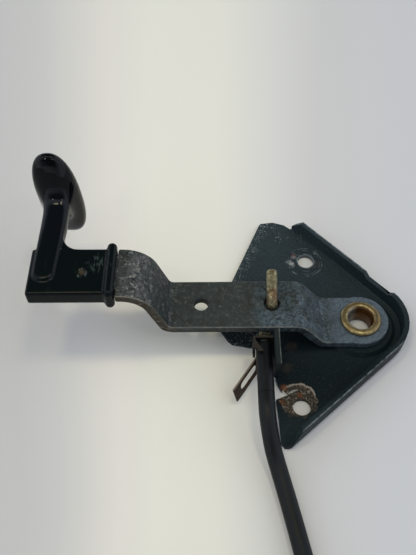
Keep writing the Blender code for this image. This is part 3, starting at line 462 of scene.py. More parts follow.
bracketFinish = {
    "paint": "#0b181d", "faded": "#2c383c", "deep": "#0a1012", "dust": "#38423f", "speck": "#979c98",
    "bare": "#8c9499", "grit": "#b9bbb8", "pale": "#dad8d0", "rust": "#5f3a24", "brown": "#40362e",
    "olive": "#37342b", "seat": "#1f262e", "flake": "#8f867a", "lug": "#1f2524",
    "shader": {"IOR": 1.5}, "relief": (0.04, 0.6), "rough": (0.42, 0.62), "specular": (0.08, 0.16),
    "patterns": {
        "wander": (2.2, 0.3, 0.7, (2, 5, 1), 3.0, 0.55),
        "cloud": (9.0, 0.35, 0.68, (0, 2, 0), 5.0, 0.6),
        "fine": (1.1, 0.35, 0.72, (3, 1, 2), 4.0, 0.7),
        "grit": (0.8, 0.6, 0.7, (7, 1, 2), 2.0, 0.5),
        "chips": (1.6, 0.56, 0.63, (2, 9, 4), 4.0, 0.75),
        "broken": (2.6, 0.47, 0.6, (4, 1, 9), 4.0, 0.7),
        "tornPaint": (1.8, 0.42, 0.6, (1, 8, 3), 5.0, 0.75),
        "flakes": (1.1, 0.54, 0.63, (6, 8, 3), 5.0, 0.8),
        "pits": (0.9, 0.5, 0.6, (3, 5, 3), 5.0, 0.85),
    },
    "edgeRound": 0.3, "top": 2.3, "upperBolt": (-21.8, 38.6), "hole": 4.0, "flangeFacing": 42.0,
    # blocks cut from the flange for its slopes: a point, how far along the flange and up from it, degrees
    # of tilt, and the block's two corners
    "slopes": [((-22.3, 57.2, 10.5), 0, 0, -47.6, (-3.7, 0, 0), (2.5, 8, 8)),
               ((0, 0, 0), 13.3, 8.3, 45.0, (17, 0, 0), (24, 5, 4)),
               ((0, 0, 0), 0.5, 8.3, -45.0, (17, -5, 0), (24, 0, 4))],
    # the paint is faded beyond the pivot and again at the lower tip, and keeps its sheen beyond the
    # pivot: where each starts and is full
    "fadedOver": (-25, 45), "tipOver": (38, 50), "sheenOver": (-25, 10),
    # where grit has chipped the paint: x, y, full within, gone past
    "chipped": [(-63.0, 2.0, 3, 9), (-55.0, -9.0, 3, 9), (-43.0, 58.0, 2, 6), (-34.0, 54.0, 0.5, 3),
                (-38.0, 62.0, 2, 5), (-50.0, -6.0, 2, 8), (-26.5, 53.5, 1, 4)],
    "leftEdge": (-59.0, 26.7, 0), "leftWay": (-0.922, 0.386, 0), "leftOver": (-6.0, -1.5),
    # painted highlight lines: the directions the flange faces, how far out and how high, and on the lug
    "flangeSides": (42.0, -48.9), "flangeLine": (21.2, 21.6), "rimHeight": (9.6, 10.1),
    "lugHeight": (11.5, 13.5), "lugEdge": (-39.75, -39.5),
    # colour, x, y, full within, gone past, how ragged, how strong; the deep one is painted shade at the anchor
    "patches": [
        ("brown", -32.4, -10.5, 1.0, 3.2, 1.3, 0.7), ("olive", -35.2, -21.8, 1.2, 3.2, 1.0, 0.5),
        ("deep", -47.0, -19.0, 1.0, 3.4, 1.2, 0.8), ("rust", -27.4, 42.0, 0.5, 1.6, 0.8, 0.8),
        ("brown", -17.0, 36.5, 0.6, 2.6, 1.0, 0.4),
    ],
    # the washer's mark: its centre, its radius and width, its scratches with how strong, and its grit
    "washer": (-22.2, 38.0), "washerSeat": (6.6, 5.0),
    "scratches": [(8.6, 0.5, 0.5), (7.4, 0.35, 0.35), (5.6, 0.4, 0.3)],
    "gritty": [(-30.0, 38.0, 0.6, 2.2), (-28.6, 36.0, 0.5, 1.8), (-27.6, 40.8, 0.4, 1.6),
               (-16.5, 44.4, 0.3, 1.6)],
    # the tear's wall is painted as pale as the lit floor: bare torn metal and painted light
    # the torn sheet: x, y, reach and how ragged, where it ends, its rust, and the tear's wall
    "torn": (-31.0, -37.7, 8.0, 1.3), "tornEnd": (-36, -47, 0), "tornWay": (0.3, 1, 0),
    "spots": [(-37.2, -31.8, 0.5, 2.3), (-30.4, -35.4, 0.3, 1.5), (-38.4, -38.6, 0.3, 1.8)],
    "tear": (-33.6, -33.4, 3.8, 4.6),
}


def blackDipPaint():
    # Pressed steel dipped in thin black paint: dull, chipped by grit, rusting where it was torn
    c = bracketFinish
    material, tree, shader, place = newMaterial("blackDipPaint", c["shader"])
    p = patterns(tree, place, c["patterns"])
    facing = addNode(tree, "SeparateXYZ", None, {0: addNode(tree, "TexCoord").outputs["Normal"]})
    axis = at(0, 0, 0)
    faded = past(tree, place, axis, (0, 1, 0), *c["fadedOver"])
    tip = past(tree, place, axis, (0, -1, 0), *c["tipOver"])
    colour = lay(tree, c["paint"], c["faded"], faded)
    colour = lay(tree, colour, c["faded"], tip, 0.5)
    colour = lay(tree, colour, c["deep"], p["fine"], 0.6)
    colour = lay(tree, colour, c["dust"], p["cloud"], p["grit"], 0.6)
    for x, y, inner, outer in c["chipped"]:
        area = nearPoint(tree, place, at(x, y, c["top"]), inner, outer, p["wander"], 2.0)
        colour = lay(tree, colour, c["speck"], area, p["grit"], 0.8)
    left = past(tree, place, at(*c["leftEdge"]), c["leftWay"], *c["leftOver"])
    colour = lay(tree, colour, c["speck"], left, either(tree, p["grit"], p["chips"]), 0.6)

    # Painted highlight lines along the flange's outer edge where it faces up, broken unevenly
    level = addNode(tree, "MapRange", {"From Min": 0.3, "From Max": 0.8}, {"Value": facing.outputs["Z"]})
    rim = past(tree, place, axis, (0, 0, 1), *c["rimHeight"])
    for side in c["flangeSides"]:
        way = (math.cos(math.radians(side)), math.sin(math.radians(side)), 0)
        line = past(tree, place, axis, way, *c["flangeLine"])
        colour = lay(tree, colour, c["bare"], rim, level, p["wander"], line, 0.6)
    # The lug laid greyer, with a painted highlight along its right edge where it faces up
    lug = past(tree, place, axis, (0, 0, 1), *c["lugHeight"])
    dull = addNode(tree, "MapRange", {"To Min": 1.0, "To Max": 0.5}, {"Value": p["cloud"]})
    colour = lay(tree, colour, c["lug"], lug, dull)
    edge = past(tree, place, axis, (1, 0, 0), *c["lugEdge"])
    uneven = addNode(tree, "MapRange", {"To Min": 0.1, "To Max": 0.5}, {"Value": p["wander"]})
    colour = lay(tree, colour, c["speck"], lug, edge, level, uneven)
    # Patches laid on; the deep one at -47, -19 is painted shade in the gap at the cable's anchor
    for kind, x, y, inner, outer, ragged, share in c["patches"]:
        area = nearPoint(tree, place, at(x, y, c["top"]), inner, outer, p["wander"], ragged)
        colour = lay(tree, colour, c[kind], area, share)

    # The washer's mark: a dark ring with broken scratches round it, and white grit at its left
    centre = at(*c["washer"], c["top"])
    seat = ring(tree, place, centre, *c["washerSeat"], p["wander"], 0.5)
    thin = addNode(tree, "MapRange", {"To Min": 0.15, "To Max": 0.7}, {"Value": p["fine"]})
    colour = lay(tree, colour, c["seat"], seat, thin)
    for radius, width, share in c["scratches"]:
        scratch = ring(tree, place, centre, radius, width, p["wander"], 0.25)
        colour = lay(tree, colour, c["bare"], scratch, p["broken"], share)
    for x, y, inner, outer in c["gritty"]:
        area = nearPoint(tree, place, at(x, y, c["top"]), inner, outer, p["wander"], 0.8)
        grains = either(tree, p["grit"], product(tree, p["fine"], 0.6))
        colour = lay(tree, colour, c["grit"], area, grains, 0.9)

    # The torn sheet round the lower hole: brown, with pale flakes, a bright lip above and spots of rust
    x, y, reach, ragged = c["torn"]
    centre = at(x, y, c["top"])
    torn = nearPoint(tree, place, centre, reach - 0.5, reach + 0.5, p["wander"], ragged)
    torn = product(tree, torn, past(tree, place, at(*c["tornEnd"]), c["tornWay"], 0, 3))
    worn = addNode(tree, "MapRange", {"To Min": 0.95, "To Max": 0.7}, {"Value": p["cloud"]})
    colour = lay(tree, colour, lay(tree, c["brown"], c["olive"], p["tornPaint"]), torn, worn)
    colour = lay(tree, colour, c["deep"], torn, p["pits"], 0.8)
    colour = lay(tree, colour, c["flake"], torn, p["flakes"], 0.8)
    lip = ring(tree, place, centre, reach - 0.2, 1.1, p["wander"], 0.5)
    above = past(tree, place, centre, (0.2, 1, 0), 1, 4)
    colour = lay(tree, colour, c["flake"], lip, above, 0.8)
    for x, y, inner, outer in c["spots"]:
        spot = nearPoint(tree, place, at(x, y, c["top"]), inner, outer, p["wander"], 0.8)
        colour = lay(tree, colour, c["rust"], spot, 0.8)

    # A rubbed rim at the upper hole, and painted light on the tear's bare wall, as pale as the lit floor
    hole = at(*c["upperBolt"], c["top"])
    rubbed = nearPoint(tree, place, hole, c["hole"] + 0.2, c["hole"] + 0.7, p["wander"], 0.4)
    colour = lay(tree, colour, c["bare"], rubbed, 0.4)
    upright = addNode(tree, "Math", {"operation": "ABSOLUTE"}, {0: facing.outputs["Z"]})
    wall = addNode(tree, "MapRange", {"From Min": 0.75, "From Max": 0.4}, {"Value": upright})
    x, y, inner, outer = c["tear"]
    tear = nearPoint(tree, place, at(x, y, c["top"] / 2), inner, outer)
    colour = lay(tree, colour, c["pale"], tear, wall)
    sheen = past(tree, place, axis, (0, 1, 0), *c["sheenOver"])
    paint(tree, shader, colour, (p["fine"], *c["relief"]), roughness=(p["fine"], *c["rough"]),
          specular=(sheen, *c["specular"]))
    return material


def cutSlopes(piece):
    # The upper flange slopes at its end and at both ends of its low stretch
    c = bracketFinish
    for point, along, up, tilt, low, high in c["slopes"]:
        cutter = block("slope", low, high, 0)
        cutter.data.transform(Matrix.Translation(-at(0, 0, 0)))
        cutter.data.transform(Matrix.Translation((0, along * mm, up * mm))
                              @ Matrix.Rotation(math.radians(tilt), 4, "X"))
        cutter.data.transform(Matrix.Rotation(math.radians(c["flangeFacing"]), 4, "Z"))
        cutter.data.transform(Matrix.Translation(at(*point)))
        combine(piece, cutter, "DIFFERENCE")


bracketPlate = nodeCopy("bracket_plate", "bracketPlate")
cutSlopes(bracketPlate)
roundEdges(bracketPlate, bracketFinish["edgeRound"])
standFor(bracketPlate, blackDipPaint(), "bracket_plate")
print("bracket done")


# Lever

leverFinish = {
    "steel": "#323939", "brown": "#2b2e2a", "blue": "#4c5b63", "eye": "#535f69", "dark": "#0f1313",
    "grey": "#2f3432", "streakAndHighlight": "#6b6a6a", "rim": "#7b7467", "light": "#a3a49b", "tan": "#362f24",
    "line": "#74766f",
    "shader": {"Specular IOR Level": 0.2, "IOR": 1.5}, "relief": (0.08, 0.7), "rough": (0.5, 0.62),
    "metal": (0.25, 0.05),
    "patterns": {
        "wander": (5.0, 0.3, 0.7, (1, 1, 3), 4.0, 0.6),
        "cloud": (7.0, 0.4, 0.62, (4, 4, 2), 5.0, 0.65),
        "fine": (0.7, 0.3, 0.7, (9, 2, 2), 3.0, 0.7),
        "flake": (2.2, 0.53, 0.6, (2, 7, 1), 6.0, 0.85),
        "pit": (1.4, 0.48, 0.55, (6, 1, 5), 6.0, 0.85),
        "mottle": (1.5, 0.47, 0.57, (3, 3, 8), 5.0, 0.8),
        "pale": (1.8, 0.55, 0.66, (7, 3, 8), 5.0, 0.8),
        "crestHighlight": (4.0, 0.42, 0.62, (3, 2, 1), 5.0, 0.75),
        "streakAndHighlight": (1.6, 0.56, 0.62, (4, 2, 7), 3.0, 0.6, (0.3, 1, 2.4)),
        "speckle": (1.5, 0.42, 0.55, (3, 1, 9), 5.0, 0.8),
    },
    "edgeRound": 0.2, "half": 12.5,
    # stretches along the bar, from and to and how soft: the bend, its crest, and round the rod's hole
    "bend": (-113.0, -86.0, 5.0), "crest": (-106.0, -97.0, 9.0), "middle": (-48.0, -14.0, 6.0),
    # where the eye's colour starts and is full along +X, and the rubbed edges' lines along -X
    "eyeOver": (-19, -10), "straightOver": (14, 16),
    # the eye's dark border: height of its centre, radius, width and how ragged
    "eyeBorder": (18.7, 11.7, 4.4, 0.8),
}


def dullZincBar():
    # Rolled bar, zinc plated and gone dull: mottled, its plating flaked where it was bent
    c = leverFinish
    material, tree, shader, place = newMaterial("dullZincBar", c["shader"])
    p = patterns(tree, place, c["patterns"])
    facing = addNode(tree, "SeparateXYZ", None, {0: addNode(tree, "TexCoord").outputs["Normal"]})
    bend = alongBar(tree, place, *c["bend"])
    crest = alongBar(tree, place, *c["crest"])
    middle = alongBar(tree, place, *c["middle"])
    eye = past(tree, place, at(0, 0, 0), (1, 0, 0), *c["eyeOver"])
    colour = lay(tree, c["steel"], c["brown"], p["cloud"])
    colour = lay(tree, colour, lay(tree, c["blue"], c["steel"], p["cloud"]), middle)
    colour = lay(tree, colour, lay(tree, c["eye"], c["blue"], p["cloud"], 0.5), eye)
    colour = lay(tree, colour, lay(tree, c["grey"], c["steel"], p["cloud"]), bend, 0.8)
    colour = lay(tree, colour, c["dark"], middle, p["mottle"], 0.8)
    colour = lay(tree, colour, c["line"], p["pale"], 0.42)
    pitted = addNode(tree, "MapRange", {"To Min": 0.3, "To Max": 0.9}, {"Value": bend})
    colour = lay(tree, colour, c["dark"], p["pit"], pitted)
    # Over the bend's crest the light flakes are laid stronger and a streak is laid on: painted highlight on the
    # upward curve, over real flaking
    bright = addNode(tree, "Math", {"operation": "MULTIPLY_ADD", 1: 0.5, 2: 0.22}, {0: crest})
    flaked = addNode(tree, "MapRange", {"To Min": 0.3, "To Max": 1.0}, {"Value": bend})
    colour = lay(tree, colour, c["light"], p["flake"], bright, flaked)
    colour = lay(tree, colour, c["streakAndHighlight"], crest, p["crestHighlight"], 0.55)

    # Brown with light streaks on the bend's near wall, and rubbed lines along both long edges
    wall = addNode(tree, "MapRange", {"From Min": -0.4, "From Max": -0.9}, {"Value": facing.outputs["Y"]})
    stained = addNode(tree, "MapRange", {"To Min": 0.85, "To Max": 1.0}, {"Value": p["wander"]})
    colour = lay(tree, colour, c["tan"], wall, bend, stained)
    colour = lay(tree, colour, c["light"], wall, bend, p["streakAndHighlight"], 0.35)
    near = past(tree, place, at(0, -c["half"], 0), (0, 1, 0), 0.65, 0.3)
    far = past(tree, place, at(0, c["half"], 0), (0, -1, 0), 0.6, 0.2)
    straight = past(tree, place, at(0, 0, 0), (-1, 0, 0), *c["straightOver"])
    up = addNode(tree, "MapRange", {"From Min": 0.2, "From Max": 0.6}, {"Value": facing.outputs["Z"]})
    worn = addNode(tree, "MapRange", {"To Min": 0.3, "To Max": 0.75}, {"Value": p["wander"]})
    colour = lay(tree, colour, c["line"], either(tree, near, product(tree, far, 0.5)), straight, up, worn)
    colour = lay(tree, colour, c["rim"], near, bend, up, worn)

    # The eye round the pivot: paler, with a dark speckled border
    height, radius, width, ragged = c["eyeBorder"]
    border = ring(tree, place, at(0, 0, height), radius, width, p["wander"], ragged)
    colour = lay(tree, colour, c["dark"], border, p["speckle"], eye, 0.75)
    colour = lay(tree, colour, c["dark"], eye, p["pit"], 0.3)
    relief = either(tree, product(tree, p["fine"], 0.4), product(tree, p["flake"], bend))
    paint(tree, shader, colour, (relief, *c["relief"]), roughness=(p["cloud"], *c["rough"]),
          metallic=(p["pit"], *c["metal"]))
    return material


leverArm = nodeCopy("lever_arm", "leverArm")
roundEdges(leverArm, leverFinish["edgeRound"])
standFor(leverArm, dullZincBar(), "lever_arm")
print("lever done")


# Grip

grip = {
    "end": -145.8, "open": -113.4, "collarEnd": -109.2, "low": 40.9, "high": 48.3, "width": 22.8,
    "nearSide": 12.1, "edgeRound": 0.8, "collarWidth": 27.6, "collarOver": 2.0, "collarRound": 2.0,
    "pocket": [(-140.7, -9.1, 42.1), (-107.2, 9.1, 46.7)], "overlap": 1.0,
    "stalkX": -138.7, "middle": 44.6, "stalkHalf": 5.3, "web": 8.2, "webInto": 3.0, "webStep": 0.5,
    # the ball that presses the dimple, with how far its centre is above the sleeve
    "dimple": (-123.2, -1.3, 48.3), "ball": 4.0, "ballUp": 3.3,
    "around": 40, "voxel": 0.42, "soften": 6,
    # how much the head leans, from where and over how far, and how much the stalk narrows downwards
    "lean": 0.075, "leanFrom": 39.0, "leanOver": 4.0, "taper": 0.35, "taperEnd": 37.0, "taperOver": 5.0,
    # distance along Y, off the middle, half width, half depth, how square
    "sections": [
        (-5.6, -0.5, 1.6, 4.1, 0.3), (-5.4, -0.5, 2.6, 4.5, 0.4), (-5.0, -0.5, 3.4, 4.75, 0.5),
        (-4.3, -0.5, 4.1, 4.9, 0.6), (-3.4, -0.5, 4.5, 5.0, 0.7), (-2.2, -0.5, 4.7, 5.05, 0.76),
        (3.0, -0.45, 4.75, 5.1, 0.78), (9.0, -0.25, 4.95, 5.2, 0.74), (14.0, -0.1, 5.3, 5.3, 0.64),
        (24.0, 0.2, 5.7, 5.45, 0.48), (31.0, 0.2, 5.8, 5.6, 0.4), (34.5, 0.1, 5.95, 6.1, 0.34),
        (37.0, 0.0, 6.3, 7.2, 0.3), (38.3, 0.0, 6.8, 9.0, 0.28), (39.5, 0.0, 7.4, 11.6, 0.27),
        (40.7, 0.0, 8.1, 14.9, 0.26), (41.9, 0.0, 8.8, 18.4, 0.25), (43.1, 0.0, 9.4, 21.4, 0.24),
        (44.5, 0.0, 9.85, 23.8, 0.22), (46.0, 0.0, 10.0, 24.9, 0.2),
        (47.6, 0.0, 9.7, 24.9, 0.18), (49.0, 0.0, 8.6, 23.9, 0.17), (50.1, 0.0, 6.6, 21.4, 0.15),
        (50.9, 0.0, 3.3, 15.5, 0.12),
    ],
    "black": "#050708", "stalk": "#0b0f13", "sleeve": "#090f10", "scuff": "#171c1d", "brown": "#4c4330",
    "line": "#46524f", "rubbed": (-116.2, 3.4, 48.3),
    # roughness of the sleeve and of the rest, specular level of sleeve and stalk and of the head
    "shader": {"IOR": 1.5}, "relief": (0.012, 0.5), "rough": (0.2, 0.08), "specular": (0.09, 0.15),
    # along Y, where each finish starts and is full
    "stalkOver": (12, 16), "sleeveOver": (11, 9), "headOver": (36, 41), "glossOver": (33, 36),
    "patterns": {
        "wander": (2.0, 0.3, 0.7, (3, 2, 1), 3.0, 0.55),
        "scratch": (2.6, 0.6, 0.7, (8, 3, 1), 4.0, 0.7, (1, 0.25, 1)),
        "strokes": (1.6, 0.5, 0.62, (2, 8, 6), 3.0, 0.6, (1.6, 0.5, 1)),
        "fine": (0.6, 0.4, 0.7, (2, 2, 6), 3.0, 0.55),
    },
}


def glossyBlackMoulding():
    # Injection-moulded black ABS: mirror-like on stalk and head, rubbed dull on the sleeve
    c = grip
    material, tree, shader, place = newMaterial("glossyBlackMoulding", c["shader"])
    p = patterns(tree, place, c["patterns"])
    stalk, sleeve, head, gloss = [past(tree, place, at(0, 0, 0), (0, 1, 0), *c[stretch])
                                  for stretch in ("stalkOver", "sleeveOver", "headOver", "glossOver")]
    dimple = nearPoint(tree, place, at(*c["dimple"]), 0.7, 1.7, p["wander"], 0.5)
    around = ring(tree, place, at(*c["dimple"]), 2.1, 1.3, p["wander"], 0.4)
    rubbed = nearPoint(tree, place, at(*c["rubbed"]), 2.0, 5.5, p["wander"], 2.0)
    colour = lay(tree, c["sleeve"], c["stalk"], stalk)
    colour = lay(tree, colour, c["black"], head)
    colour = lay(tree, colour, c["scuff"], p["scratch"], sleeve, 0.5)
    colour = lay(tree, colour, c["brown"], dimple, 0.55)
    colour = lay(tree, colour, c["line"], around, p["strokes"], 0.6)
    colour = lay(tree, colour, c["line"], rubbed, p["strokes"], 0.5)
    dull, glossy = c["rough"]
    rough = addNode(tree, "MapRange", {"To Min": dull, "To Max": glossy}, {"Value": stalk})
    for mask in (product(tree, dimple, 0.3), product(tree, p["scratch"], sleeve, 0.15)):
        rough = addNode(tree, "Math", {"operation": "ADD"}, {0: rough, 1: mask})
    relief = product(tree, p["fine"], sleeve)
    paint(tree, shader, colour, (relief, *c["relief"]), roughness=(rough, 0, 1),
          specular=(gloss, *c["specular"]))
    return material


def gripRing(y, off, halfX, halfZ, square):
    c = grip
    lean = c["lean"] * min(max((y - c["leanFrom"]) / c["leanOver"], 0.0), 1.0)
    taper = c["taper"] * min(max((c["taperEnd"] - y) / c["taperOver"], 0.0), 1.0)
    points = []
    for i in range(c["around"]):
        angle = 2 * math.pi * i / c["around"]
        x = math.copysign(abs(math.cos(angle)) ** (1 - square), math.cos(angle)) * halfX
        z = math.copysign(abs(math.sin(angle)) ** (1 - square), math.sin(angle)) * halfZ
        x *= 1 - taper * max(-z, 0.0) / halfZ
        points.append(at(c["stalkX"] + off + x - lean * z, y, c["middle"] + z))
    return points


def stalkAndHead():
    # A ring that is extruded from section to section, its ends closed
    c = grip
    bpy.ops.object.select_all(action="DESELECT")
    bpy.ops.mesh.primitive_circle_add(vertices=c["around"], radius=mm, fill_type="NGON")
    piece = bpy.context.object
    piece.name = "stalkAndHead"
    before = [vert.co.copy() for vert in piece.data.vertices]
    for i, section in enumerate(c["sections"]):
        ringPoints = gripRing(*section)
        if i:
            edit(piece, "DESELECT")
            closeEdit()
            piece.data.polygons[capIndex].select = True
            bpy.ops.object.mode_set(mode="EDIT")
            bpy.ops.mesh.select_mode(type="FACE")
            bpy.ops.mesh.extrude_region_move()
            closeEdit()
        for vert in piece.data.vertices:
            if vert.select or not i:
                nearest = min(range(len(before)), key=lambda k: (before[k] - vert.co).length_squared)
                vert.co = ringPoints[nearest]
        before = ringPoints
        caps = [face for face in piece.data.polygons if len(face.vertices) > 4 and (face.select or not i)]
        capIndex = max(face.index for face in caps)
    edit(piece)
    bpy.ops.mesh.normals_make_consistent(inside=False)
    closeEdit()
    return piece


def webFillet():
    # The quarter-round web between the stalk's right side and the sleeve's far edge
    c = grip
    half = c["width"] / 2
    right = c["stalkX"] + c["stalkHalf"]
    piece = block("web", (right - c["webInto"], half - c["webInto"], c["low"] + c["webStep"]),
                  (right + c["web"], half + c["web"], c["high"] - c["webStep"]), 0)
    bpy.ops.object.select_all(action="DESELECT")
    bpy.ops.mesh.primitive_cylinder_add(vertices=96, radius=c["web"] * mm, depth=20 * mm,
                                        location=at(right + c["web"], half + c["web"], c["middle"]))
    combine(piece, bpy.context.object, "DIFFERENCE")
    return piece


def moulding():
    c = grip
    piece = block("gripMoulding", (c["end"], -c["nearSide"], c["low"]),
                  (c["open"] + c["overlap"], c["width"] / 2, c["high"]), c["edgeRound"])
    wide = c["collarWidth"] / 2
    collar = block("collar", (c["open"], -wide, c["low"] - c["collarOver"]),
                   (c["collarEnd"], wide, c["high"] + c["collarOver"]), c["collarRound"], 8)
    for other in (collar, stalkAndHead(), webFillet()):
        combine(piece, other, "UNION")
    combine(piece, block("pocket", *c["pocket"], 0), "DIFFERENCE")
    bpy.ops.object.select_all(action="DESELECT")
    bpy.ops.mesh.primitive_uv_sphere_add(segments=48, ring_count=24, radius=c["ball"] * mm,
                                         location=at(*c["dimple"]) + Vector((0, 0, c["ballUp"] * mm)))
    combine(piece, bpy.context.object, "DIFFERENCE")
    remesh = piece.modifiers.new("even", "REMESH")
    remesh.mode = "VOXEL"
    remesh.voxel_size = c["voxel"] * mm
    smooth = piece.modifiers.new("soften", "SMOOTH")
    smooth.factor = 0.5
    smooth.iterations = c["soften"]
    applyModifiers(piece)
    pick(piece)
    bpy.ops.object.shade_smooth()
    return piece


gripMoulding = moulding()
standFor(gripMoulding, glossyBlackMoulding(), "grip")
print("grip done,", len(gripMoulding.data.polygons), "faces")


# Pivot rivet

rivet = {
    "zinc": "#6d5f40", "pale": "#978860", "worn": "#86847c", "rust": "#5c3f20", "deep": "#33291a",
    "shader": {"Metallic": 0.8}, "relief": (0.02, 0.6), "rough": (0.42, 0.28),
    "patterns": {
        "wander": (1.6, 0.3, 0.7, (1, 2, 3), 4.0, 0.65),
        "cloud": (2.4, 0.42, 0.62, (5, 2, 3), 5.0, 0.7),
        "fine": (0.5, 0.35, 0.7, (1, 9, 3), 3.0, 0.55),
    },
    # how far out the bore's rust is full and gone, where its left is worn grey with painted light laid on,
    # and where the ring's top is worn: a point, a direction, and how far past the point that starts and
    # is full
    "boreOver": (5.9, 6.5), "leftWornAndLit": ((-2.5, 0, 0), (-1, 0.1, 0), -1.0, 1.5),
    "topWorn": ((-4.5, 8.0, 0), (-0.5, 0.85, 0), -1.5, 2.5),
    # radius and height, round the ring, down the shank, round the clinch and up the bore
    "profile": [
        (6.7, 9.95), (7.0, 10.06), (7.4, 10.1), (8.2, 10.0), (8.8, 9.8), (9.15, 9.5), (9.35, 9.2),
        (9.4, 8.95), (9.3, 8.65), (9.1, 8.5), (6.5, 8.5), (6.5, 1.3), (8.5, 1.3), (8.35, 0.7), (8.1, 0.3),
        (5.25, 0.3), (4.95, 0.45), (4.85, 0.8), (4.85, 6.3), (4.95, 6.9), (5.2, 7.5), (5.5, 8.3),
        (5.8, 9.1), (6.2, 9.65), (6.45, 9.85),
    ],
    "steps": 96,
}


def yellowZinc():
    # Yellow-passivated zinc on turned steel: satin gold, worn grey and brown where it rubs,
    # with painted light on the bore's left side
    c = rivet
    material, tree, shader, place = newMaterial("yellowPassivatedZinc", c["shader"])
    p = patterns(tree, place, c["patterns"])
    flat = addNode(tree, "VectorMath", {"operation": "MULTIPLY", 1: (1, 1, 0)}, {0: place})
    bore = nearPoint(tree, flat, at(0, 0, 0), *c["boreOver"], p["wander"], 0.3)
    left, top = [past(tree, place, at(*point), way, start, end)
                 for point, way, start, end in (c["leftWornAndLit"], c["topWorn"])]
    colour = lay(tree, c["zinc"], c["pale"], p["cloud"])
    colour = lay(tree, colour, c["deep"], p["fine"], 0.35)
    colour = lay(tree, colour, c["rust"], bore)
    # The bore's left painted grey: worn zinc, with painted light where the sky lights that chamfer
    colour = lay(tree, colour, c["worn"], bore, left, 0.9)
    colour = lay(tree, colour, c["worn"], top, p["wander"], 0.6)
    paint(tree, shader, colour, (p["fine"], *c["relief"]), roughness=(p["cloud"], *c["rough"]))
    return material


pivotRivet = turnedPiece("pivotRivet", rivet["profile"], at(0, 0, 0), (0, 0, 1), rivet["steps"])
standFor(pivotRivet, yellowZinc(), "pivot_rivet")
print("rivet done")


# Rod and wires

rod = {
    "diameter": 5.0, "bend": 3.5, "holeX": -41.9, "topZ": 24.7, "lowZ": 14.9, "topEnd": (-41.3, 15.5),
    "lowEnd": (-45.6, -12.4), "endRound": 0.55, "sides": 7,
    "zinc": "#6a644a", "dark": "#2e2b20", "rust": "#573721", "end": "#968e6b", "fleck": "#cdc49d",
    "stain": (-41.0, 2.5, 25.0),
    "zincShader": {"Metallic": 0.7}, "zincRelief": (0.02, 0.5), "zincRough": (0.52, 0.36),
    "zincPatterns": {
        "wander": (1.5, 0.3, 0.7, (1, 6, 3), 4.0, 0.65),
        "cloud": (2.0, 0.42, 0.62, (5, 5, 3), 5.0, 0.7),
        "fine": (0.7, 0.45, 0.66, (4, 9, 3), 3.0, 0.55),
        "fleck": (1.1, 0.58, 0.68, (8, 9, 3), 4.0, 0.7),
    },
    "wire": 1.8, "pitch": 8.0, "strand": "#8b8a85", "grease": "#3a3733",
    "wireShader": {"Metallic": 0.9, "Roughness": 0.38},
    "wireWay": [(-45.6, -11.6, 14.9), (-45.9, -14.3, 14.9), (-46, -15.9, 14.9), (-46, -37.0, 14.9)],
    "wirePatterns": {"film": (1.2, 0.42, 0.66, (1, 1, 8), 4.0, 0.6)},
}


def rodZinc():
    # Drawn rod with a dull yellow zinc: satin, stained brown where it enters the lever
    c = rod
    material, tree, shader, place = newMaterial("dullYellowZinc", c["zincShader"])
    p = patterns(tree, place, c["zincPatterns"])
    stain = nearPoint(tree, place, at(*c["stain"]), 1.6, 4.2, p["wander"], 1.3)
    colour = lay(tree, c["zinc"], c["end"], p["cloud"])
    colour = lay(tree, colour, c["dark"], p["fine"], 0.75)
    colour = lay(tree, colour, c["fleck"], p["fleck"], 0.7)
    colour = lay(tree, colour, c["rust"], stain, 0.85)
    paint(tree, shader, colour, (p["fine"], *c["zincRelief"]), roughness=(p["cloud"], *c["zincRough"]))
    return material


def steelStrands():
    # Seven steel strands with a film of old grease: bright on their crowns, dark between
    c = rod
    material, tree, shader, place = newMaterial("greasedSteelStrands", c["wireShader"])
    p = patterns(tree, place, c["wirePatterns"])
    paint(tree, shader, lay(tree, c["strand"], c["grease"], p["film"]))
    return material


def quarterTurn(centre, start, end, radius, steps=12):
    points = []
    for i in range(steps + 1):
        angle = math.pi / 2 * i / steps
        points.append(centre + (start * math.cos(angle) + end * math.sin(angle)) * radius * mm)
    return points


def bentRod():
    c = rod
    up = Vector((0, 0, 1))
    far = Vector((0, 1, 0))
    low = at(*c["lowEnd"], c["lowZ"])
    near = (low - at(c["holeX"], 0, c["lowZ"])).normalized()
    points = [at(*c["topEnd"], c["topZ"])]
    points += quarterTurn(at(c["holeX"], c["bend"], c["topZ"] - c["bend"]), up, -far, c["bend"])
    elbow = at(c["holeX"], 0, c["lowZ"] + c["bend"]) + near * c["bend"] * mm
    points += quarterTurn(elbow, -near, -up, c["bend"])
    points.append(low)
    piece = roundLine("cableRod", points, c["diameter"], c["sides"])
    pick(piece)
    bpy.ops.object.convert(target="MESH")
    edit(piece)
    bpy.ops.mesh.remove_doubles(threshold=0.005 * mm)
    bpy.ops.mesh.normals_make_consistent(inside=False)
    closeEdit()
    roundEdges(piece, c["endRound"], 3, 60)
    return piece


cableRod = bentRod()
standFor(cableRod, rodZinc(), "cable_rod")
strandMetal = steelStrands()
innerWire = strandedWire("innerWire", [at(*point) for point in rod["wireWay"]], rod["wire"], rod["pitch"])
standFor(innerWire, strandMetal, "inner_wire")
print("rod and wire done")


# Holder, spring and the sheath's end

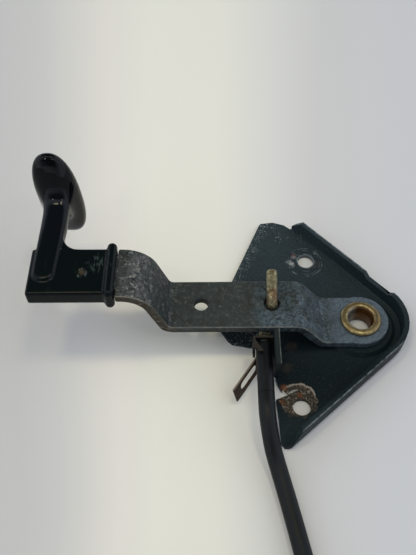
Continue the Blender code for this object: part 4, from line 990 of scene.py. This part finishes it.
holder = {
    # edge is painted light, laid on the faces that look up
    "sheet": "#171412", "dust": "#211d19", "edge": "#322c27", "dark": "#0e0c0b", "sheetRound": 0.2,
    "sheetShader": {"Metallic": 0.1, "Specular IOR Level": 0.2}, "sheetRough": (0.45, 0.65),
    "springShader": {"Metallic": 0.15, "Specular IOR Level": 0.25}, "springRough": (0.5, 0.7),
    "relief": (0.03, 0.6),
    "sheetPatterns": {
        "cloud": (3.0, 0.4, 0.65, (2, 2, 2), 5.0, 0.65),
        "fine": (0.7, 0.35, 0.7, (3, 9, 2), 3.0, 0.55),
    },
    "spring": "#2b221b", "rust": "#4a3322", "ridge": "#877b6d", "ridgeHeight": (10.3, 10.65),
    "springRound": 0.12,
    "springPatterns": {
        "cloud": (2.2, 0.42, 0.62, (2, 6, 2), 5.0, 0.7),
        "fine": (0.6, 0.35, 0.7, (3, 1, 2), 3.0, 0.55),
    },
    # radius and distance from the tail end, along the outside and back through the bore
    "sheathTail": (-46, -41, 14.9), "sheathSteps": 48,
    "sheathProfile": [(3.0, 24.1), (3.35, 23.95), (3.55, 23.6), (3.6, 23.2), (3.6, 0.0), (2.3, 0.0),
                      (2.3, 23.8), (2.45, 24.0), (2.7, 24.1)],
}


def brownSheet():
    # Thin sheet with brown grime over worn plating: dull, with painted light on the faces that look up
    c = holder
    material, tree, shader, place = newMaterial("grimySheetSteel", c["sheetShader"])
    p = patterns(tree, place, c["sheetPatterns"])
    facing = addNode(tree, "SeparateXYZ", None, {0: addNode(tree, "TexCoord").outputs["Normal"]})
    # Painted light: the faces that look up are painted lighter, as lit tops
    edge = addNode(tree, "MapRange", {"From Min": 0.5, "From Max": 0.9}, {"Value": facing.outputs["Z"]})
    colour = lay(tree, c["sheet"], c["dust"], p["cloud"])
    colour = lay(tree, colour, c["dark"], p["fine"], 0.5)
    colour = lay(tree, colour, c["edge"], edge, 0.5)
    paint(tree, shader, colour, (p["fine"], *c["relief"]), roughness=(p["cloud"], *c["sheetRough"]))
    return material


def rustedSpring():
    # Blued spring strip, rusted to a dark brown, with a brighter ridge where it was cut
    c = holder
    material, tree, shader, place = newMaterial("rustedSpringStrip", c["springShader"])
    p = patterns(tree, place, c["springPatterns"])
    ridge = past(tree, place, at(0, 0, 0), (0, 0, 1), *c["ridgeHeight"])
    colour = lay(tree, c["spring"], c["rust"], p["cloud"])
    colour = lay(tree, colour, c["dark"], p["fine"], 0.4)
    colour = lay(tree, colour, c["ridge"], ridge, 0.8)
    paint(tree, shader, colour, (p["fine"], *c["relief"]), roughness=(p["cloud"], *c["springRough"]))
    return material


sheathHolder = nodeCopy("sheath_holder", "sheathHolder")
roundEdges(sheathHolder, holder["sheetRound"])
standFor(sheathHolder, brownSheet(), "sheath_holder")
anchorSpring = nodeCopy("anchor_spring", "anchorSpring")
roundEdges(anchorSpring, holder["springRound"])
standFor(anchorSpring, rustedSpring(), "anchor_spring")
sheathEnd = turnedPiece("sheathEnd", holder["sheathProfile"], at(*holder["sheathTail"]), (0, 1, 0),
                        holder["sheathSteps"])
standFor(sheathEnd, cableSheath.data.materials[0], "sheath_end")
print("holder, spring and sheath end done")


# Fittings on the cable's far end, and the tie

fittings = {
    "zinc": "#a9abaa", "dull": "#6f7271",
    "zincShader": {"Metallic": 0.85}, "zincRelief": (0.015, 0.5), "zincRough": (0.34, 0.48),
    "zincPatterns": {
        "cloud": (2.5, 0.4, 0.65, (1, 1, 1), 4.0, 0.6),
        "fine": (0.5, 0.35, 0.7, (3, 3, 3), 3.0, 0.55),
    },
    # profiles of radius and height, along the outside and back through the bore
    "ferrule": (-130.3, -209.9, 4.65), "steps": 48,
    "ferruleProfile": [(4.0, 17.0), (4.4, 16.8), (4.6, 16.4), (4.6, 13.4), (4.2, 13.0), (4.2, 12.4),
                       (4.6, 12.0), (4.6, 10.2), (4.2, 9.8), (4.2, 9.2), (4.6, 8.8), (4.6, 6.2),
                       (4.45, 5.8), (3.2, 4.6), (3.2, 0.7), (3.05, 0.2), (2.6, 0.0), (1.5, 0.0),
                       (1.5, 17.0)],
    "wireWay": [(-113.9, -209.9, 4.65), (-131.3, -209.9, 4.65), (-145.0, -209.9, 3.8),
                (-157.4, -209.9, 3.05)],
    "nipple": (-159.6, -209.9, 3.05),
    "nippleProfile": [(2.5, 3.5), (2.85, 3.35), (3.0, 3.0), (3.0, -3.0), (2.85, -3.35), (2.5, -3.5),
                      (0.9, -3.5), (0.7, -3.2), (0.7, 3.2), (0.9, 3.5)],
    "nylon": "#101112", "worn": "#26282a", "nylonShader": {"IOR": 1.53, "Specular IOR Level": 0.4},
    "nylonRelief": (0.01, 0.5), "nylonRough": (0.36, 0.5),
    "nylonPatterns": {"cloud": (1.8, 0.45, 0.7, (1, 4, 1), 4.0, 0.6)},
    # the tie's head and cut-off tail, as corners out from the coil's centre
    "tieAngle": 125.0, "tieHead": [(34.5, -3.9, 16.6), (40.5, 3.9, 20.6)],
    "tieTail": [(27.5, -1.9, 18.2), (34.6, 1.9, 19.4)], "headRound": 0.5, "bandRound": 0.2,
}


def dieCastZinc():
    # Die-cast zinc alloy: soft grey sheen with a fine sandy skin
    c = fittings
    material, tree, shader, place = newMaterial("dieCastZinc", c["zincShader"])
    p = patterns(tree, place, c["zincPatterns"])
    colour = lay(tree, c["zinc"], c["dull"], p["cloud"])
    paint(tree, shader, colour, (p["fine"], *c["zincRelief"]), roughness=(p["cloud"], *c["zincRough"]))
    return material


def blackNylon():
    # Moulded nylon: near black with a waxy half gloss
    c = fittings
    material, tree, shader, place = newMaterial("mouldedBlackNylon", c["nylonShader"])
    p = patterns(tree, place, c["nylonPatterns"])
    colour = lay(tree, c["nylon"], c["worn"], p["cloud"])
    paint(tree, shader, colour, (p["cloud"], *c["nylonRelief"]), roughness=(p["cloud"], *c["nylonRough"]))
    return material


def makeTie():
    # The band that the CAD model has, with its ratchet head and the cut-off tail of the strap on top
    c = fittings
    piece = nodeCopy("coil_tie", "coilTie")
    turn = Matrix.Rotation(math.radians(c["tieAngle"]), 4, "Z")
    for corners in (c["tieHead"], c["tieTail"]):
        lump = block("lump", *corners, c["headRound"], 3)
        lump.data.transform(Matrix.Translation(-at(0, 0, 0)))
        lump.data.transform(Matrix.Translation(at(*cable["coil"], 0)) @ turn)
        combine(piece, lump, "UNION")
    roundEdges(piece, c["bandRound"])
    return piece


zincMetal = dieCastZinc()
endFerrule = turnedPiece("endFerrule", fittings["ferruleProfile"], at(*fittings["ferrule"]), (1, 0, 0),
                         fittings["steps"])
standFor(endFerrule, zincMetal, "end_ferrule")
endWire = strandedWire("endWire", [at(*point) for point in fittings["wireWay"]], rod["wire"], rod["pitch"])
standFor(endWire, strandMetal, "end_wire")
endNipple = turnedPiece("endNipple", fittings["nippleProfile"], at(*fittings["nipple"]), (0, 1, 0),
                        fittings["steps"])
standFor(endNipple, zincMetal, "end_nipple")
coilTie = makeTie()
standFor(coilTie, blackNylon(), "coil_tie")
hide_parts("cable_sheath", "cable_coil", "cable_tail")
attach(cableSheath, bodyOf["cable_sheath"])
print("fittings and tie done")


# Table and light

studio = {
    "shader": {"Roughness": 0.6, "Specular IOR Level": 0.2},
    # painted light and shade on the table: a pale pool of light down the middle, darker to either side
    "bands": [(0.0, "#c0bfbd"), (0.11, "#c7c6c2"), (0.26, "#ddd9d0"), (0.36, "#e1dfd3"), (0.52, "#e0ded2"),
              (0.65, "#d3d2cd"), (0.75, "#c8c7c5"), (1.0, "#c5c6c8")],
    # the painted pool of light's middle, its half width at the origin, the least that may be and how it
    # widens along Y, and where the colours start and end in half widths from the middle
    "bandMiddle": -0.047, "bandHalf": 0.057, "bandLeast": 0.046, "widens": 0.138,
    "left": -1.6, "right": 1.7, "floor": 2.4, "aim": (-0.06, 0, 0),
    # a pale room, darker beyond the model and in front of it, with how straight that way it gets dark
    "sky": "#eaf0fd", "dark": "#3c3e40", "skyStrength": 1.5,
    "darkWays": [(0.0, 0.6, 0.8), (0.0, -0.8, 0.6)], "darkOver": (0.7, 0.93),
    # name, place, size, watts and tint
    "lamps": [("ceilingLeft", (-0.30, 0.06, 1.10), 0.16, 1.65, "#fff2bf"),
              ("ceilingRight", (0.16, 0.06, 1.10), 0.16, 1.65, "#f6f0ce"),
              ("frontLeft", (-0.41, -0.45, 0.95), 0.035, 0.45, "#fff6ea"),
              ("frontRight", (0.29, -0.45, 0.95), 0.035, 0.45, "#eef4ff")],
}


def makeTable():
    c = studio
    bpy.ops.object.select_all(action="DESELECT")
    bpy.ops.mesh.primitive_plane_add(size=c["floor"], location=(0, 0, 0))
    table = bpy.context.object
    table.name = "table"
    material, tree, shader, place = newMaterial("matteWhiteTable", c["shader"])
    # The colour bands paint a pool of light along the table's middle, darker towards the sides
    apart = addNode(tree, "SeparateXYZ", None, {0: place})
    across = addNode(tree, "Math", {"operation": "SUBTRACT", 1: c["bandMiddle"]}, {0: apart.outputs["X"]})
    half = addNode(tree, "Math", {"operation": "MULTIPLY_ADD", 1: c["widens"], 2: c["bandHalf"]},
                   {0: apart.outputs["Y"]})
    half = addNode(tree, "Math", {"operation": "MAXIMUM", 1: c["bandLeast"]}, {0: half})
    across = addNode(tree, "Math", {"operation": "DIVIDE"}, {0: across, 1: half})
    share = addNode(tree, "MapRange", {"From Min": c["left"], "From Max": c["right"]}, {"Value": across})
    ramp = addNode(tree, "ValToRGB", None, {"Fac": share})
    stops = ramp.color_ramp.elements
    while len(stops) < len(c["bands"]):
        stops.new(0.5)
    for stop, (where, code) in zip(stops, c["bands"]):
        stop.position = where
        stop.color = linear(code)
    paint(tree, shader, ramp.outputs["Color"])
    table.data.materials.append(material)


def makeLamp(name, place, size, watts, code):
    data = bpy.data.lights.new(name, "AREA")
    data.shape = "SQUARE"
    data.size = size
    data.energy = watts
    data.color = linear(code)[:3]
    lamp = bpy.data.objects.new(name, data)
    bpy.context.scene.collection.objects.link(lamp)
    lamp.location = place
    lamp.rotation_euler = (Vector(studio["aim"]) - Vector(place)).to_track_quat("-Z", "Y").to_euler()


def makeWorld():
    c = studio
    world = bpy.data.worlds.new("studio")
    bpy.context.scene.world = world
    world.use_nodes = True
    tree = world.node_tree
    look = addNode(tree, "TexCoord").outputs["Generated"]
    start, full = c["darkOver"]
    darker = []
    for way in c["darkWays"]:
        toward = addNode(tree, "VectorMath", {"operation": "DOT_PRODUCT", 1: way}, {0: look})
        darker.append(addNode(tree, "MapRange", {"From Min": start, "From Max": full},
                              {"Value": toward.outputs["Value"]}))
    background = tree.nodes["Background"]
    background.inputs["Strength"].default_value = c["skyStrength"]
    tree.links.new(lay(tree, c["sky"], c["dark"], either(tree, *darker)), background.inputs["Color"])


makeTable()
makeWorld()
for lamp in studio["lamps"]:
    makeLamp(*lamp)
bpy.context.scene.view_settings.view_transform = "Standard"
print("table and light done")
